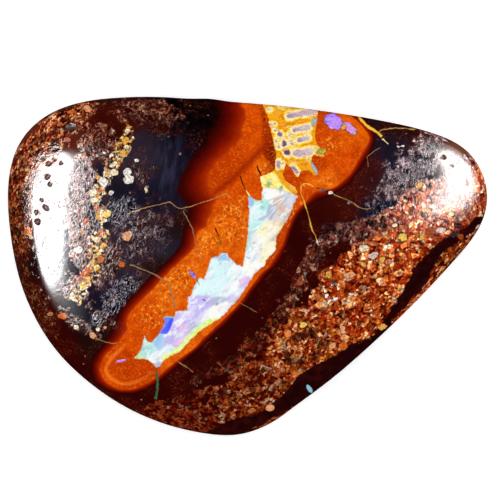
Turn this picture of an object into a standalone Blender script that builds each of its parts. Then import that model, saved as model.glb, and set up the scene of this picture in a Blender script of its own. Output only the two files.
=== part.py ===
# A polished freeform boulder opal: one stone of ironstone with a seam of opal in it.
# It lies on its flat sawn back, the domed face up. +X is its length and +Y its width.
# The origin is the middle of its bounding box, at the height of the back.
# Sizes are in millimetres and become metres where the mesh is made.

import math

import bmesh
import bpy
import numpy as np
from mathutils import Matrix, Vector

MM = 0.001

# Driving dimensions
LENGTH = 38.0
HEIGHT = 7.0
GIRDLE_HEIGHT = 2.3        # where the stone is widest
GIRDLE_DROP = 2.9          # depth of the lower half if it weren't cut flat
LOWER_FULLNESS = 0.28      # under 1 keeps the lower wall steep and the back wide
DOME_FULLNESS = 0.94       # a little under 1 flattens the face and rounds its shoulder
DOME_CENTRE = (-1.5, 1.6)

# Slow waves that polishing leaves where hard and soft bands meet
WAVE_HEIGHT = 0.07
WAVE_LENGTH_ALONG = 17.0
WAVE_LENGTH_ACROSS = 11.0
WAVE_START_ACROSS = 1.0    # radians
WAVE_TURN = math.radians(40)

# Mesh fineness
SEGMENTS_ROUND = 96
SEGMENTS_DOWN = 38
STEPS_BETWEEN_POINTS = 24
PIT_ROUNDNESS = 2          # subdivisions of the ball that cuts a pit
SMOOTH_UP_TO = math.radians(35)

# The outline seen from above, anticlockwise from the rightmost point, for a stone 38 mm long
OUTLINE = [
    (19.0, 5.5), (18.5, 7.6), (17.2, 9.35), (14.6, 10.6), (10.1, 11.65), (4.2, 12.55),
    (-2.6, 13.15), (-8.5, 13.45), (-13.5, 12.95), (-16.75, 11.4), (-18.6, 8.65),
    (-19.0, 4.4), (-17.95, -1.5), (-15.4, -6.4), (-11.4, -10.1), (-6.9, -12.4),
    (-2.0, -13.4), (1.2, -12.75), (4.2, -10.75), (7.75, -8.0), (12.2, -3.9),
    (16.2, 0.3), (18.35, 3.05),
]

# Open pits in the polished face: middle (x, y), length, width, direction in degrees
PITS = [
    (-15.74, 8.13, 0.50, 0.34, 10), (-15.3, 8.45, 0.34, 0.26, 70), (-15.82, 7.09, 0.50, 0.30, 40),
    (-15.62, 6.47, 0.40, 0.26, 80), (-16.22, 8.54, 0.38, 0.26, -60), (-15.95, 4.62, 0.64, 0.32, -45),
    (-16.64, 3.52, 0.44, 0.40, 0), (-16.75, 4.28, 0.40, 0.26, 50), (-16.31, 5.24, 0.36, 0.24, -60),
    (-15.13, 9.29, 0.28, 0.22, -60), (-14.73, 8.17, 0.32, 0.22, 45), (-11.64, 8.85, 0.46, 0.40, 0),
    (-13.98, 11.0, 0.86, 0.50, -5), (15.43, 8.63, 0.36, 0.34, 0), (16.1, 7.97, 0.32, 0.22, -15),
    (17.25, 8.49, 0.32, 0.22, -60), (5.71, 2.04, 0.50, 0.36, 60), (6.82, -1.38, 0.42, 0.38, 0),
    (8.05, 5.0, 0.40, 0.26, -20),
]
PIT_DEPTH_SHARE = 0.45     # of a pit's length, below the face
# The one open crack: from, to, width
CRACK = ((5.45, 6.2), (6.4, 5.9), 0.17)
CRACK_DEPTH = 0.25


def outline_curve():
    """Points along a closed Catmull-Rom curve through OUTLINE, scaled to LENGTH."""
    knots = np.array(OUTLINE) * (LENGTH / np.ptp(np.array(OUTLINE)[:, 0]))
    before, after, next_after = (np.roll(knots, shift, axis=0) for shift in (1, -1, -2))
    t = np.linspace(0, 1, STEPS_BETWEEN_POINTS, endpoint=False)[None, :, None]
    p0, p1, p2, p3 = (p[:, None, :] for p in (before, knots, after, next_after))
    curve = 0.5 * (
        2 * p1
        + (p2 - p0) * t
        + (2 * p0 - 5 * p1 + 4 * p2 - p3) * t**2
        + (3 * p1 - p0 - 3 * p2 + p3) * t**3
    )
    return curve.reshape(-1, 2)


def rim_radius(angles):
    """Distance from DOME_CENTRE to the outline, in each of these directions."""
    arms = outline_curve() - np.array(DOME_CENTRE)
    around = np.arctan2(arms[:, 1], arms[:, 0])
    order = np.argsort(around)
    reach = np.hypot(arms[:, 0], arms[:, 1])
    return np.interp(angles, around[order], reach[order], period=2 * math.pi)


def wave(x, y):
    """Height of the slow waves, two crossed sines."""
    along = x * math.cos(WAVE_TURN) + y * math.sin(WAVE_TURN)
    across = y * math.cos(WAVE_TURN) - x * math.sin(WAVE_TURN)
    first = np.sin(2 * math.pi * along / WAVE_LENGTH_ALONG)
    second = np.sin(2 * math.pi * across / WAVE_LENGTH_ACROSS + WAVE_START_ACROSS)
    return WAVE_HEIGHT * first * second


def stone_points(unit):
    """Where each point of a unit sphere goes: out to the outline, up to the dome or down to the wall."""
    around = np.arctan2(unit[:, 1], unit[:, 0])
    out = np.hypot(unit[:, 0], unit[:, 1]).clip(0, 1)
    up = unit[:, 2]
    fullness = np.where(up > 0, DOME_FULLNESS, LOWER_FULLNESS)
    reach = rim_radius(around) * out**fullness
    x = DOME_CENTRE[0] + reach * np.cos(around)
    y = DOME_CENTRE[1] + reach * np.sin(around)
    face = up.clip(0, None)
    rise = HEIGHT - GIRDLE_HEIGHT + wave(x, y)
    z = GIRDLE_HEIGHT + rise * face + GIRDLE_DROP * up.clip(None, 0)
    return np.column_stack([x, y, z])


def face_height(x, y):
    """Height of the domed face above the back at one plan point."""
    arm_x, arm_y = x - DOME_CENTRE[0], y - DOME_CENTRE[1]
    share = math.hypot(arm_x, arm_y) / float(rim_radius(math.atan2(arm_y, arm_x)))
    face = math.sqrt(max(0.0, 1 - share ** (2 / DOME_FULLNESS)))
    return GIRDLE_HEIGHT + (HEIGHT - GIRDLE_HEIGHT + float(wave(x, y))) * face


def centre_on_origin(mesh):
    """Moves the mesh in plan so that its bounding box is centred, and up so that it stands on z 0."""
    points = np.array([v.co for v in mesh.vertices])
    low, high = points.min(axis=0), points.max(axis=0)
    middle = (low + high) / 2
    mesh.transform(Matrix.Translation(Vector((-middle[0], -middle[1], -low[2]))))


def make_stone(material, collection):
    """The stone: a sphere drawn out to the outline and cut flat at the back."""
    mesh = bpy.data.meshes.new("boulder_opal")
    bm = bmesh.new()
    bmesh.ops.create_uvsphere(bm, u_segments=SEGMENTS_ROUND, v_segments=SEGMENTS_DOWN, radius=1.0)
    unit = np.array([v.co for v in bm.verts])
    for vert, place in zip(bm.verts, stone_points(unit) * MM):
        vert.co = place
    cut = bmesh.ops.bisect_plane(
        bm, geom=bm.verts[:] + bm.edges[:] + bm.faces[:], dist=1e-7,
        plane_co=(0, 0, 0), plane_no=(0, 0, -1), clear_outer=True,
    )
    back_edges = [e for e in cut["geom_cut"] if isinstance(e, bmesh.types.BMEdge)]
    bmesh.ops.contextual_create(bm, geom=back_edges)
    bmesh.ops.recalc_face_normals(bm, faces=bm.faces[:])
    bm.to_mesh(mesh)
    bm.free()
    centre_on_origin(mesh)
    mesh.shade_smooth()
    mesh.set_sharp_from_angle(angle=SMOOTH_UP_TO)
    mesh.materials.append(material)

    stone = bpy.data.objects.new("boulder_opal", mesh)
    collection.objects.link(stone)
    return stone


def on_the_face(x, y, turn, size):
    """Matrix that gives a unit shape this size, turns it and sets its middle on the face at (x, y)."""
    place = Matrix.Translation(Vector((x, y, face_height(x, y))) * MM)
    scale = Matrix.Diagonal([side * MM for side in size] + [1.0])
    return place @ Matrix.Rotation(turn, 4, "Z") @ scale


def make_pit_cutters(collection):
    """One cutter of squashed balls for the pits and a thin slab for the crack, half sunk in the face."""
    mesh = bpy.data.meshes.new("pit_cutters")
    bm = bmesh.new()
    for x, y, length, width, turn in PITS:
        half_sizes = (length / 2, width / 2, PIT_DEPTH_SHARE * length)
        matrix = on_the_face(x, y, math.radians(turn), half_sizes)
        bmesh.ops.create_icosphere(bm, subdivisions=PIT_ROUNDNESS, radius=1.0, matrix=matrix)
    (x0, y0), (x1, y1), width = CRACK
    sizes = (math.hypot(x1 - x0, y1 - y0), width, 2 * CRACK_DEPTH)
    turn = math.atan2(y1 - y0, x1 - x0)
    matrix = on_the_face((x0 + x1) / 2, (y0 + y1) / 2, turn, sizes)
    bmesh.ops.create_cube(bm, size=1.0, matrix=matrix)
    bm.to_mesh(mesh)
    bm.free()

    cutters = bpy.data.objects.new("pit_cutters", mesh)
    cutters.hide_render = True
    cutters.display_type = "WIRE"
    collection.objects.link(cutters)
    return cutters


def polished_ironstone():
    """Dark rusty ironstone with a high polish."""
    material = bpy.data.materials.new("polished_ironstone")
    material.use_nodes = True
    shader = material.node_tree.nodes["Principled BSDF"]
    shader.inputs["Base Color"].default_value = (0.16, 0.045, 0.015, 1)
    shader.inputs["Roughness"].default_value = 0.12
    shader.inputs["Metallic"].default_value = 0.0
    return material


def main():
    for old in list(bpy.data.objects):
        bpy.data.objects.remove(old, do_unlink=True)
    parts = bpy.data.collections.new("boulder opal")
    helpers = bpy.data.collections.new("cutters")
    for collection in (parts, helpers):
        bpy.context.scene.collection.children.link(collection)

    stone = make_stone(polished_ironstone(), parts)
    pits = stone.modifiers.new("pits", "BOOLEAN")
    pits.operation = "DIFFERENCE"
    pits.solver = "EXACT"
    pits.object = make_pit_cutters(helpers)


main()
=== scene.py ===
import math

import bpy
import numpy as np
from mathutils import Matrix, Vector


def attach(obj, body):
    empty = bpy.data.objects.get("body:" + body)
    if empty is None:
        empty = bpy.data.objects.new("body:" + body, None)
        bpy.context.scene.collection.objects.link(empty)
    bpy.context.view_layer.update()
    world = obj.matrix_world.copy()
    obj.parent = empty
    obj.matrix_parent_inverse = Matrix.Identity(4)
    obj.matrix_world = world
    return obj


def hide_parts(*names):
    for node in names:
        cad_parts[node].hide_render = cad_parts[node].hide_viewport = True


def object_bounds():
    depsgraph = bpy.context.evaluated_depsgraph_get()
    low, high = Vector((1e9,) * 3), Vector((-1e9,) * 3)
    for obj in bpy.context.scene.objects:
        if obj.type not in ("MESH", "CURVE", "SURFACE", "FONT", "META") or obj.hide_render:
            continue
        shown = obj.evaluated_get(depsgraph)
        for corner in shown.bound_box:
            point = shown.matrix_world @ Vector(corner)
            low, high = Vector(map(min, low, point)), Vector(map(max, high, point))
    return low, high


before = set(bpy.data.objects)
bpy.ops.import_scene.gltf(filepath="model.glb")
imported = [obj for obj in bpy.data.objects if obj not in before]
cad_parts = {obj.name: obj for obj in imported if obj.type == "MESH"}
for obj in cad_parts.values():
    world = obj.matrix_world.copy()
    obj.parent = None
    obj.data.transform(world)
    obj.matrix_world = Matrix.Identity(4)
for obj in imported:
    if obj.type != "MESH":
        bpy.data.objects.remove(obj)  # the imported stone, at its real size

# A polished boulder opal: ironstone crossed by a rusty band, with a seam of opal in the band.
# Lengths in the dictionaries are millimetres in the stone's own frame: x along the stone, y across
# it, z up from its flat back. Colours are the numbers from 0 to 255 that a colour picker shows.

mm = 0.001
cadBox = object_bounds()

# Shape of the stone

stone = {
    "domeCentre": (-1.5, 1.6),
    "top": 7.0,
    "girdle": 2.3,              # height at which the stone is widest
    "ringSlack": 0.01,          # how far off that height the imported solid's widest ring may lie
    "girdleDrop": 2.9,         # depth of the lower half before its back was sawn flat
    "domeFullness": 0.94,       # a little under 1 flattens the face and rounds its shoulder
    "lowerFullness": 0.28,
    "waveHeight": 0.07,         # slow waves left by polishing bands of unlike hardness
    "waveAlong": 17.0,
    "waveAcross": 11.0,
    "waveStart": 1.0,
    "waveTurn": 40,
    "cellsAcross": 284,         # cells of the face's grid, a multiple of backStep
    "backStep": 4,              # rim cells to one cell of the back
    "backInset": 0.985,         # share of the back that its own grid fills, inside the last ring
    "wallSteps": (0.10, 0.22, 0.36, 0.50, 0.63, 0.73, 0.785),
    "rimSharpness": 0.25,       # 0 keeps the cells even, 0.5 packs them at the rim
    "rimWaves": 40,             # waves round the rim that the outline is built from
    "pitDepth": 0.45,           # share of a pit's width
}

# Open pits in the face: middle x and y, length, width, direction in degrees
pits = [
    (-15.74, 8.13, 0.50, 0.34, 10), (-15.3, 8.45, 0.34, 0.26, 70), (-15.82, 7.09, 0.50, 0.30, 40),
    (-15.62, 6.47, 0.40, 0.26, 80), (-16.22, 8.54, 0.38, 0.26, -60), (-15.95, 4.62, 0.64, 0.32, -45),
    (-16.64, 3.52, 0.44, 0.40, 0), (-16.75, 4.28, 0.40, 0.26, 50), (-16.31, 5.24, 0.36, 0.24, -60),
    (-15.13, 9.29, 0.28, 0.22, -60), (-14.73, 8.17, 0.32, 0.22, 45), (-11.64, 8.85, 0.46, 0.40, 0),
    (-13.98, 11.0, 0.86, 0.50, -5), (15.43, 8.63, 0.36, 0.34, 0), (16.1, 7.97, 0.32, 0.22, -15),
    (17.25, 8.49, 0.32, 0.22, -60), (5.71, 2.04, 0.50, 0.36, 60), (6.82, -1.38, 0.42, 0.38, 0),
    (8.05, 5.0, 0.40, 0.26, -20), (5.93, 6.05, 0.98, 0.17, -17),
]


def packedRim():
    # The plan distance from the dome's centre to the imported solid's widest ring, at even turns
    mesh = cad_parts["boulder_opal"].data
    places = np.empty(len(mesh.vertices) * 3)
    mesh.vertices.foreach_get("co", places)
    places = places.reshape(-1, 3) / mm
    ring = np.abs(places[:, 2] - stone["girdle"]) < stone["ringSlack"]
    arms = places[ring, :2] - stone["domeCentre"]
    turns = np.arctan2(arms[:, 1], arms[:, 0])
    order = np.argsort(turns)
    reach = np.hypot(arms[:, 0], arms[:, 1])[order]
    even = np.linspace(0, 2 * math.pi, 2 * len(np.unique(turns.round(4))), endpoint=False)
    return np.interp(even, turns[order], reach, period=2 * math.pi)


def rimReach(turn, share, waves):
    # Mean radius plus a sum of cosines round the rim; wave k fades as share ** (k / 4) inwards,
    # so the outline is exact at the rim and the dome is smooth at its centre
    reach = np.full(turn.shape, waves[0].real)
    for k in range(1, stone["rimWaves"]):
        reach += 2 * (waves[k] * np.exp(1j * k * turn)).real * share ** (k / 4)
    return reach


def slowWave(x, y):
    # Two crossed sines, turned from the x axis
    turn = math.radians(stone["waveTurn"])
    along = x * math.cos(turn) + y * math.sin(turn)
    across = y * math.cos(turn) - x * math.sin(turn)
    first = np.sin(2 * math.pi * along / stone["waveAlong"])
    second = np.sin(2 * math.pi * across / stone["waveAcross"] + stone["waveStart"])
    return stone["waveHeight"] * first * second


def roundGrid(count):
    # A square grid pressed into a disc: x = u sqrt(1 - v v / 2), y = v sqrt(1 - u u / 2)
    u, v = np.meshgrid(*[np.linspace(-1, 1, count + 1)] * 2, indexing="ij")
    x = u * np.sqrt(1 - v * v / 2)
    y = v * np.sqrt(1 - u * u / 2)
    return np.hypot(x, y).ravel(), np.arctan2(y, x).ravel()


def gridFaces(count, first, upwards):
    # Four corners of each cell, anticlockwise from above, or clockwise where the grid looks down
    i, j = np.meshgrid(np.arange(count), np.arange(count), indexing="ij")
    corner = first + (i * (count + 1) + j).ravel()
    faces = np.stack([corner, corner + count + 1, corner + count + 2, corner + 1], axis=1)
    return faces if upwards else faces[:, ::-1]


def gridRim(count):
    # The grid's outer points in order, anticlockwise from its first corner
    steps = np.arange(count)
    last = count * (count + 1)
    return np.concatenate([
        steps * (count + 1), last + steps, last + count - steps * (count + 1), count - steps,
    ])


def ovalDistance(x, y, middleX, middleY, length, width, turn):
    # Squared distance from the middle in half lengths and half widths, so 1 is the oval's edge
    c, s = math.cos(math.radians(turn)), math.sin(math.radians(turn))
    along = ((x - middleX) * c + (y - middleY) * s) / length
    across = ((y - middleY) * c - (x - middleX) * s) / width
    return along**2 + across**2


def pitDepth(x, y):
    # Each pit is a bowl: depth times 1 minus the squared share of the way to its oval edge
    depth = np.zeros(x.shape)
    for middleX, middleY, length, width, turn in pits:
        inside = 1 - ovalDistance(x, y, middleX, middleY, length / 2, width / 2, turn)
        depth = np.maximum(depth, stone["pitDepth"] * width * inside)
    return depth


def stonePlaces():
    # Face: a dome over the outline, z = girdle + rise * sqrt(1 - share ** (2 / fullness)).
    # Wall: rings at up < 0 below the girdle, share = (1 - up * up) ** (fullness / 2).
    # Back: a coarser grid at z 0. Returns the points, the faces and where each part starts.
    reaches = packedRim()
    waves = np.fft.rfft(reaches) / len(reaches)
    centreX, centreY = stone["domeCentre"]
    count = stone["cellsAcross"]

    radius, turn = roundGrid(count)
    k = stone["rimSharpness"]
    share = (radius * (1 + k - k * radius**2)).clip(0, 1)
    reach = rimReach(turn, share, waves) * share
    x, y = centreX + reach * np.cos(turn), centreY + reach * np.sin(turn)
    up = np.sqrt((1 - share ** (2 / stone["domeFullness"])).clip(0, 1))
    z = stone["girdle"] + (stone["top"] - stone["girdle"] + slowWave(x, y)) * up - pitDepth(x, y)
    parts = [np.stack([x, y, z], axis=1)]
    faces = gridFaces(count, 0, True).tolist()

    rim = gridRim(count)
    rimTurn = turn[rim]
    rimArm = rimReach(rimTurn, np.ones(len(rim)), waves)
    upper, first = rim, len(x)
    nextOne = np.roll(np.arange(len(rim)), -1)
    for down in stone["wallSteps"]:
        narrower = (1 - down**2) ** (stone["lowerFullness"] / 2)
        height = stone["girdle"] - stone["girdleDrop"] * down
        ringX = centreX + rimArm * narrower * np.cos(rimTurn)
        ringY = centreY + rimArm * narrower * np.sin(rimTurn)
        parts.append(np.stack([ringX, ringY, np.full(len(rim), height)], axis=1))
        lower = first + np.arange(len(rim))
        faces += np.stack([upper, lower, lower[nextOne], upper[nextOne]], axis=1).tolist()
        upper, first = lower, first + len(rim)

    backCount = count // stone["backStep"]
    backRadius, backTurn = roundGrid(backCount)
    backShare = narrower * stone["backInset"]
    reach = rimReach(backTurn, np.ones(len(backTurn)), waves) * backRadius * backShare
    backX, backY = centreX + reach * np.cos(backTurn), centreY + reach * np.sin(backTurn)
    parts.append(np.stack([backX, backY, np.zeros(len(backX))], axis=1))
    faces += gridFaces(backCount, first, False).tolist()
    inner = first + gridRim(backCount)
    outer = upper.reshape(-1, stone["backStep"])
    nextOuter = np.roll(outer[:, 0], -1)
    ease = np.concatenate(
        [inner[:, None], np.roll(inner, -1)[:, None], nextOuter[:, None], outer[:, ::-1]], axis=1
    )
    faces += ease.tolist()
    return np.concatenate(parts), faces, radius, turn, len(x), first


def fitBox(places):
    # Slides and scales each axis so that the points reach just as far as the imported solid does
    low, high = np.array(cadBox[0]) / mm, np.array(cadBox[1]) / mm
    span = places.max(axis=0) - places.min(axis=0)
    return low + (places - places.min(axis=0)) * (high - low) / span


# Where the stone's bands, seam and cracks lie

pattern = {
    "lean": (0.35, -0.25),      # how far the bands step sideways for each mm of depth
    "seamCloses": 1.3,          # mm that the opal and web shrink at each edge for each mm of depth
    "bandFades": 0.30,          # share of the band's glow lost for each mm of depth
    "crackReach": 0.24,         # mm beside a crack within which it is looked for
    "limeWidth": 0.24,          # half widths of the soft lines
    "shadowLineWidth": 0.3,
    "fringeWidth": 0.55,
    "chainWidth": 0.62,
    "cellCorner": 0.45,         # radius of a web cell's corners, as a share of its narrower side
    "cellShadeStart": 0.4,      # where along a cell its shade starts to turn, and how fast it does
    "cellShadeEase": 0.7,
    "crispness": {"ground": 0.9, "opal": 5.0, "band": 1.2, "grains": 2.0},  # of the patches' borders
}

# The seam of opal and the blue shard in it
opalOutline = [
    (0.05, 5.51), (0.11, 4.06), (0.02, 2.87), (-0.02, 2.09), (-0.21, 1.03), (-0.38, 0), (-0.81, 0.11),
    (-1.4, 0.71), (-1.59, 1.03), (-2.19, 1.03), (-2.28, 0.77), (-2.91, 0.64), (-3.11, -0.08),
    (-3.43, -1.03), (-3.86, -0.87), (-4.01, -1.19), (-4.26, -1.67), (-4.45, -2.33), (-4.72, -2.46),
    (-4.75, -3.45), (-5.37, -3.55), (-5.64, -3.51), (-5.77, -3.97), (-6.66, -3.97), (-6.58, -4.6),
    (-6.97, -5.32), (-7.62, -6.05), (-7.89, -5.98), (-8.16, -5.32), (-8.28, -6.11), (-8.42, -6.57),
    (-8.68, -6.97), (-9.08, -7.3), (-7.89, -7.43), (-7.5, -7.7), (-7.3, -7.95), (-7.04, -8.08),
    (-6.7, -7.56), (-6.18, -7.16), (-5.32, -6.77), (-4.6, -5.98), (-3.94, -5.32), (-3.29, -4.79),
    (-2.74, -4.52), (-2.36, -4.27), (-1.75, -3.78), (-1.47, -3.37), (-0.61, -2.51), (-0.09, -1.67),
    (0.71, -0.41), (1.36, -0.02), (1.56, 0.57), (2.25, 1.23), (2.28, 2.22), (2.61, 2.87),
    (3.21, 3.73), (3.67, 4.85), (3.99, 5.57), (3.86, 5.61), (2.81, 6), (1.95, 6.2), (1.23, 6.2),
    (1.13, 6.03), (1.12, 5.2), (0.71, 5.16), (0.24, 5.52),
]
blueShard = [(-6.64, -4.07), (-5.78, -4.07), (-5.99, -4.68), (-6.31, -5.39), (-6.97, -5.35), (-6.82, -4.76)]
# The bright orange band round the seam, and the wider outline at which its glow ends
bandOutline = [
    (0.0, 13.4), (0.0, 12.2), (-0.1, 11.2), (-0.36, 10.0), (-1.0, 9.2), (-2.0, 8.4), (-2.7, 7.6),
    (-3.0, 6.8), (-2.7, 6.0), (-2.26, 5.24), (-2.74, 4.28), (-3.05, 3.65), (-3.21, 3.01), (-3.85, 2.54),
    (-4.09, 1.9), (-4.24, 1.27), (-4.88, 0.63), (-5.67, 0), (-6.31, -0.63), (-6.86, -1.27),
    (-7.42, -1.9), (-8.05, -2.54), (-8.69, -3.17), (-9.24, -3.81), (-9.48, -4.44), (-9.4, -5.08),
    (-9.88, -5.71), (-10.43, -6.35), (-11.07, -6.98), (-11.46, -7.62), (-11.62, -8.25),
    (-11.38, -8.89), (-10.75, -9.44), (-9.96, -9.76), (-8.92, -9.68), (-7.89, -9.2),
    (-6.94, -8.57), (-5.99, -7.77), (-5.04, -7.06), (-4.09, -6.35), (-3.45, -5.63), (-2.74, -5),
    (-2.18, -4.44), (-1.63, -3.89), (-0.99, -3.25), (-0.44, -2.62), (0.04, -1.9), (0.52, -1.27),
    (0.99, -0.63), (1.63, -0.08), (2.02, 0.56), (2.5, 1.27), (2.82, 1.98), (3.05, 2.7),
    (3.29, 3.25), (3.61, 4.05), (4.16, 4.76), (4.8, 5.32), (5.2, 5.79), (5.91, 6.03), (6.86, 6.27),
    (7.58, 6.82), (8.21, 7.46), (8.61, 8.25), (9, 8.89), (9.4, 9.52), (9.64, 10.08), (9.24, 10.79),
    (8.69, 11.42), (8.13, 11.9), (7.66, 12.9),
]
glowOutline = [
    (-2.3, 13.6), (-2.5, 12.2), (-3.1, 11.2), (-3.6, 10.0), (-4.2, 9.2), (-4.9, 8.4), (-5.5, 7.6),
    (-5.8, 6.8), (-6.0, 6.0), (-5.8, 5.2), (-5.1, 4.5), (-5.0, 3.8), (-5.2, 2.9), (-5.5, 1.7),
    (-6.4, 0.5), (-7.2, -0.2), (-8.2, -1.1), (-9.0, -1.9), (-9.8, -2.7), (-10.3, -3.5), (-10.7, -4.4),
    (-11.0, -5.2), (-11.5, -6.0), (-12.1, -6.8), (-12.5, -7.6), (-12.5, -8.6), (-12.1, -9.4),
    (-11.3, -9.95), (-10.27, -10.15), (-8.85, -10.15), (-7.58, -9.68), (-6.47, -8.89), (-5.35, -7.93),
    (-4.24, -6.98), (-3.37, -6.27), (-2.5, -5.39), (-1.71, -4.76), (-0.91, -3.81), (-0.12, -3.01),
    (0.52, -2.06), (1.15, -1.35), (1.63, -0.63), (2.26, -0.08), (2.74, 0.48), (3.13, 1.35),
    (3.37, 2.06), (3.69, 3.01), (4.09, 3.81), (4.64, 4.44), (5.28, 4.92), (6.23, 5.32), (7.18, 5.87),
    (7.97, 6.35), (8.61, 7.14), (9.24, 7.93), (9.8, 8.89), (10.11, 9.84), (10.11, 10.63), (9.56, 11.42),
    (8.92, 12.22), (8.45, 13.2),
]
# A painted shadow line, darker than the band round it, across the band's upper left, and the lime fringe
# along the seam's lower edge
paintedShadowLine = [(-3.53, 5.08), (-2.58, 5.79), (-1.15, 6.9), (0.04, 8.09), (1.15, 9.28)]
limeFringe = [(-6.6, -7.3), (-5.45, -6.65), (-4.7, -5.85), (-4.05, -5.2), (-3.4, -4.65), (-2.6, -4.25)]
# The yellow web at the top of the seam and the pale flow below it
webOutline = [
    (1.13, 13.1), (1.39, 12.22), (1.69, 11.66), (1.69, 11.34), (1.89, 10.47), (2.09, 9.62),
    (2.25, 8.83), (2.15, 7.65), (1.82, 7.39), (0.97, 7.06), (1.1, 6.46), (1.19, 6.11), (1.95, 6.11),
    (2.81, 5.92), (3.86, 5.53), (3.99, 5.87), (3.73, 6.27), (3.37, 6.51), (2.94, 6.82), (2.78, 7.3),
    (3.05, 8.05), (3.37, 7.81), (3.69, 7.38), (3.95, 6.9), (4.26, 7.5), (4.56, 7.58), (5.04, 7.42),
    (5.31, 7.06), (5.57, 7.18), (5.48, 7.62), (5.05, 8.17), (5.18, 8.77), (5.59, 8.69), (6.1, 8.65),
    (5.79, 9.28), (5.38, 9.88), (5.38, 10.79), (5.51, 11.58), (5.64, 12.9),
]
flowOutline = [
    (0.9, 7.2), (1.39, 7.42), (1.78, 7.6), (2.18, 7.45), (2.66, 6.66), (3.13, 6.11), (3.69, 5.65),
    (4.24, 5.24), (3.85, 4.92), (2.9, 5.39), (1.94, 5.63), (1.15, 5.63), (1.0, 6.43),
]
# The web's cells: middle, length, width, direction, darkness of the left end and of the right end
webCells = [
    (4.3, 12.06, 2.6, 0.5, 11, 0.5, 0.22), (4.25, 10.87, 1.6, 0.46, 12, 0.55, 0.1),
    (4.45, 10.04, 1.1, 0.42, 12, 0.6, 0.02), (2.58, 10.44, 0.55, 0.44, -25, 0.8, 0.7),
    (2.9, 9.66, 0.5, 0.58, 8, 0.95, 0.85), (3.48, 9.78, 0.22, 0.42, 10, 0.5, 0.4),
    (2.16, 10.75, 0.22, 0.2, 0, 0.95, 0.9), (2.25, 9.92, 0.28, 0.32, 0, 0.95, 0.9),
    (2.5, 9.4, 0.3, 0.3, 0, 0.95, 0.9), (3.14, 8.95, 0.62, 0.52, -12, 1.0, 0.9),
    (4.4, 8.98, 1.7, 0.66, 10, 0.4, 0.12), (2.46, 8.0, 0.36, 0.8, 0, 0.65, 0.45),
    (2.84, 8.0, 0.14, 0.5, 0, 0.5, 0.5), (3.75, 7.62, 0.95, 0.34, -38, 0.7, 0.4),
    (1.98, 11.23, 0.56, 0.2, 6, 0.6, 0.5), (3.3, 10.45, 0.16, 0.3, 20, 0.3, 0.3),
    (1.75, 12.4, 0.3, 0.22, 0, 0.15, 0.1), (3.3, 12.85, 1.6, 0.2, 8, 0.05, 0.05),
]
# The sand at the lower right, drawn past the rim
sandOutline = [
    (-10.11, -12.61), (-8.37, -11.34), (-6.94, -10.63), (-5.12, -10.55), (-3.85, -9.84),
    (-1.94, -9.12), (-0.59, -7.77), (0.36, -6.66), (1.47, -5.55), (3.13, -4.2), (4.4, -2.94),
    (5.51, -1.27), (6.31, 0), (7.73, 1.11), (9.08, 2.22), (10.99, 3.57), (12.34, 5.55),
    (12.89, 6.66), (14.72, 7.14), (16.46, 8.41), (19.63, 9.2), (20.43, 0.48), (12.1, -7.46),
    (0.2, -15.39), (-8.53, -14.6),
]
# The smooth dark band along the lower right rim, which turns inwards across the sand
darkOutline = [
    (-1.55, -12.22), (0.2, -11.82), (1.15, -11.5), (2.1, -10.87), (3.37, -9.52), (4.48, -8.33),
    (5.75, -7.62), (7.26, -6.82), (8.29, -6.19), (9.4, -5.87), (10.35, -4.92), (11.07, -3.81),
    (12.18, -2.06), (13.37, 0), (14.32, 1.11), (15.59, 2.22), (17.02, 2.86), (18.13, 3.97),
    (18.76, 3.65), (18.13, 3.01), (17.02, 2.06), (15.75, 1.27), (15.27, 0.71), (14.48, -0.71),
    (13.45, -2.14), (11.94, -3.81), (11.46, -4.44), (12.1, -5.08), (10.51, -6.66), (7.73, -8.73),
    (4.96, -10.47), (2.58, -11.74), (0.2, -13.01), (-1.23, -13.65), (-3.77, -13.49), (-2.66, -12.85),
]
# The brown fringe of fine grains that runs beside the sand
fringeLine = [
    (-3.53, -8.73), (-2.02, -8.01), (-0.59, -6.9), (0.67, -5.87), (1.94, -4.52), (2.97, -3.17),
    (3.77, -1.75), (4.32, -0.56), (4.72, 0.32), (5.43, 1.27), (6.23, 2.3), (7.18, 2.7),
    (8.29, 2.9), (9.4, 3.1), (10.51, 3.6), (11.4, 4.2),
]
# The chain of gold and white grains on the left
chainLine = [
    (-9.48, 10.79), (-9.64, 9.68), (-10.51, 8.09), (-11.3, 6.74), (-12.02, 5.63), (-11.7, 4.28),
    (-11.54, 2.62), (-11.94, 1.11), (-12.34, -0.32), (-12.81, -1.51), (-13.6, -2.5),
]
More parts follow.
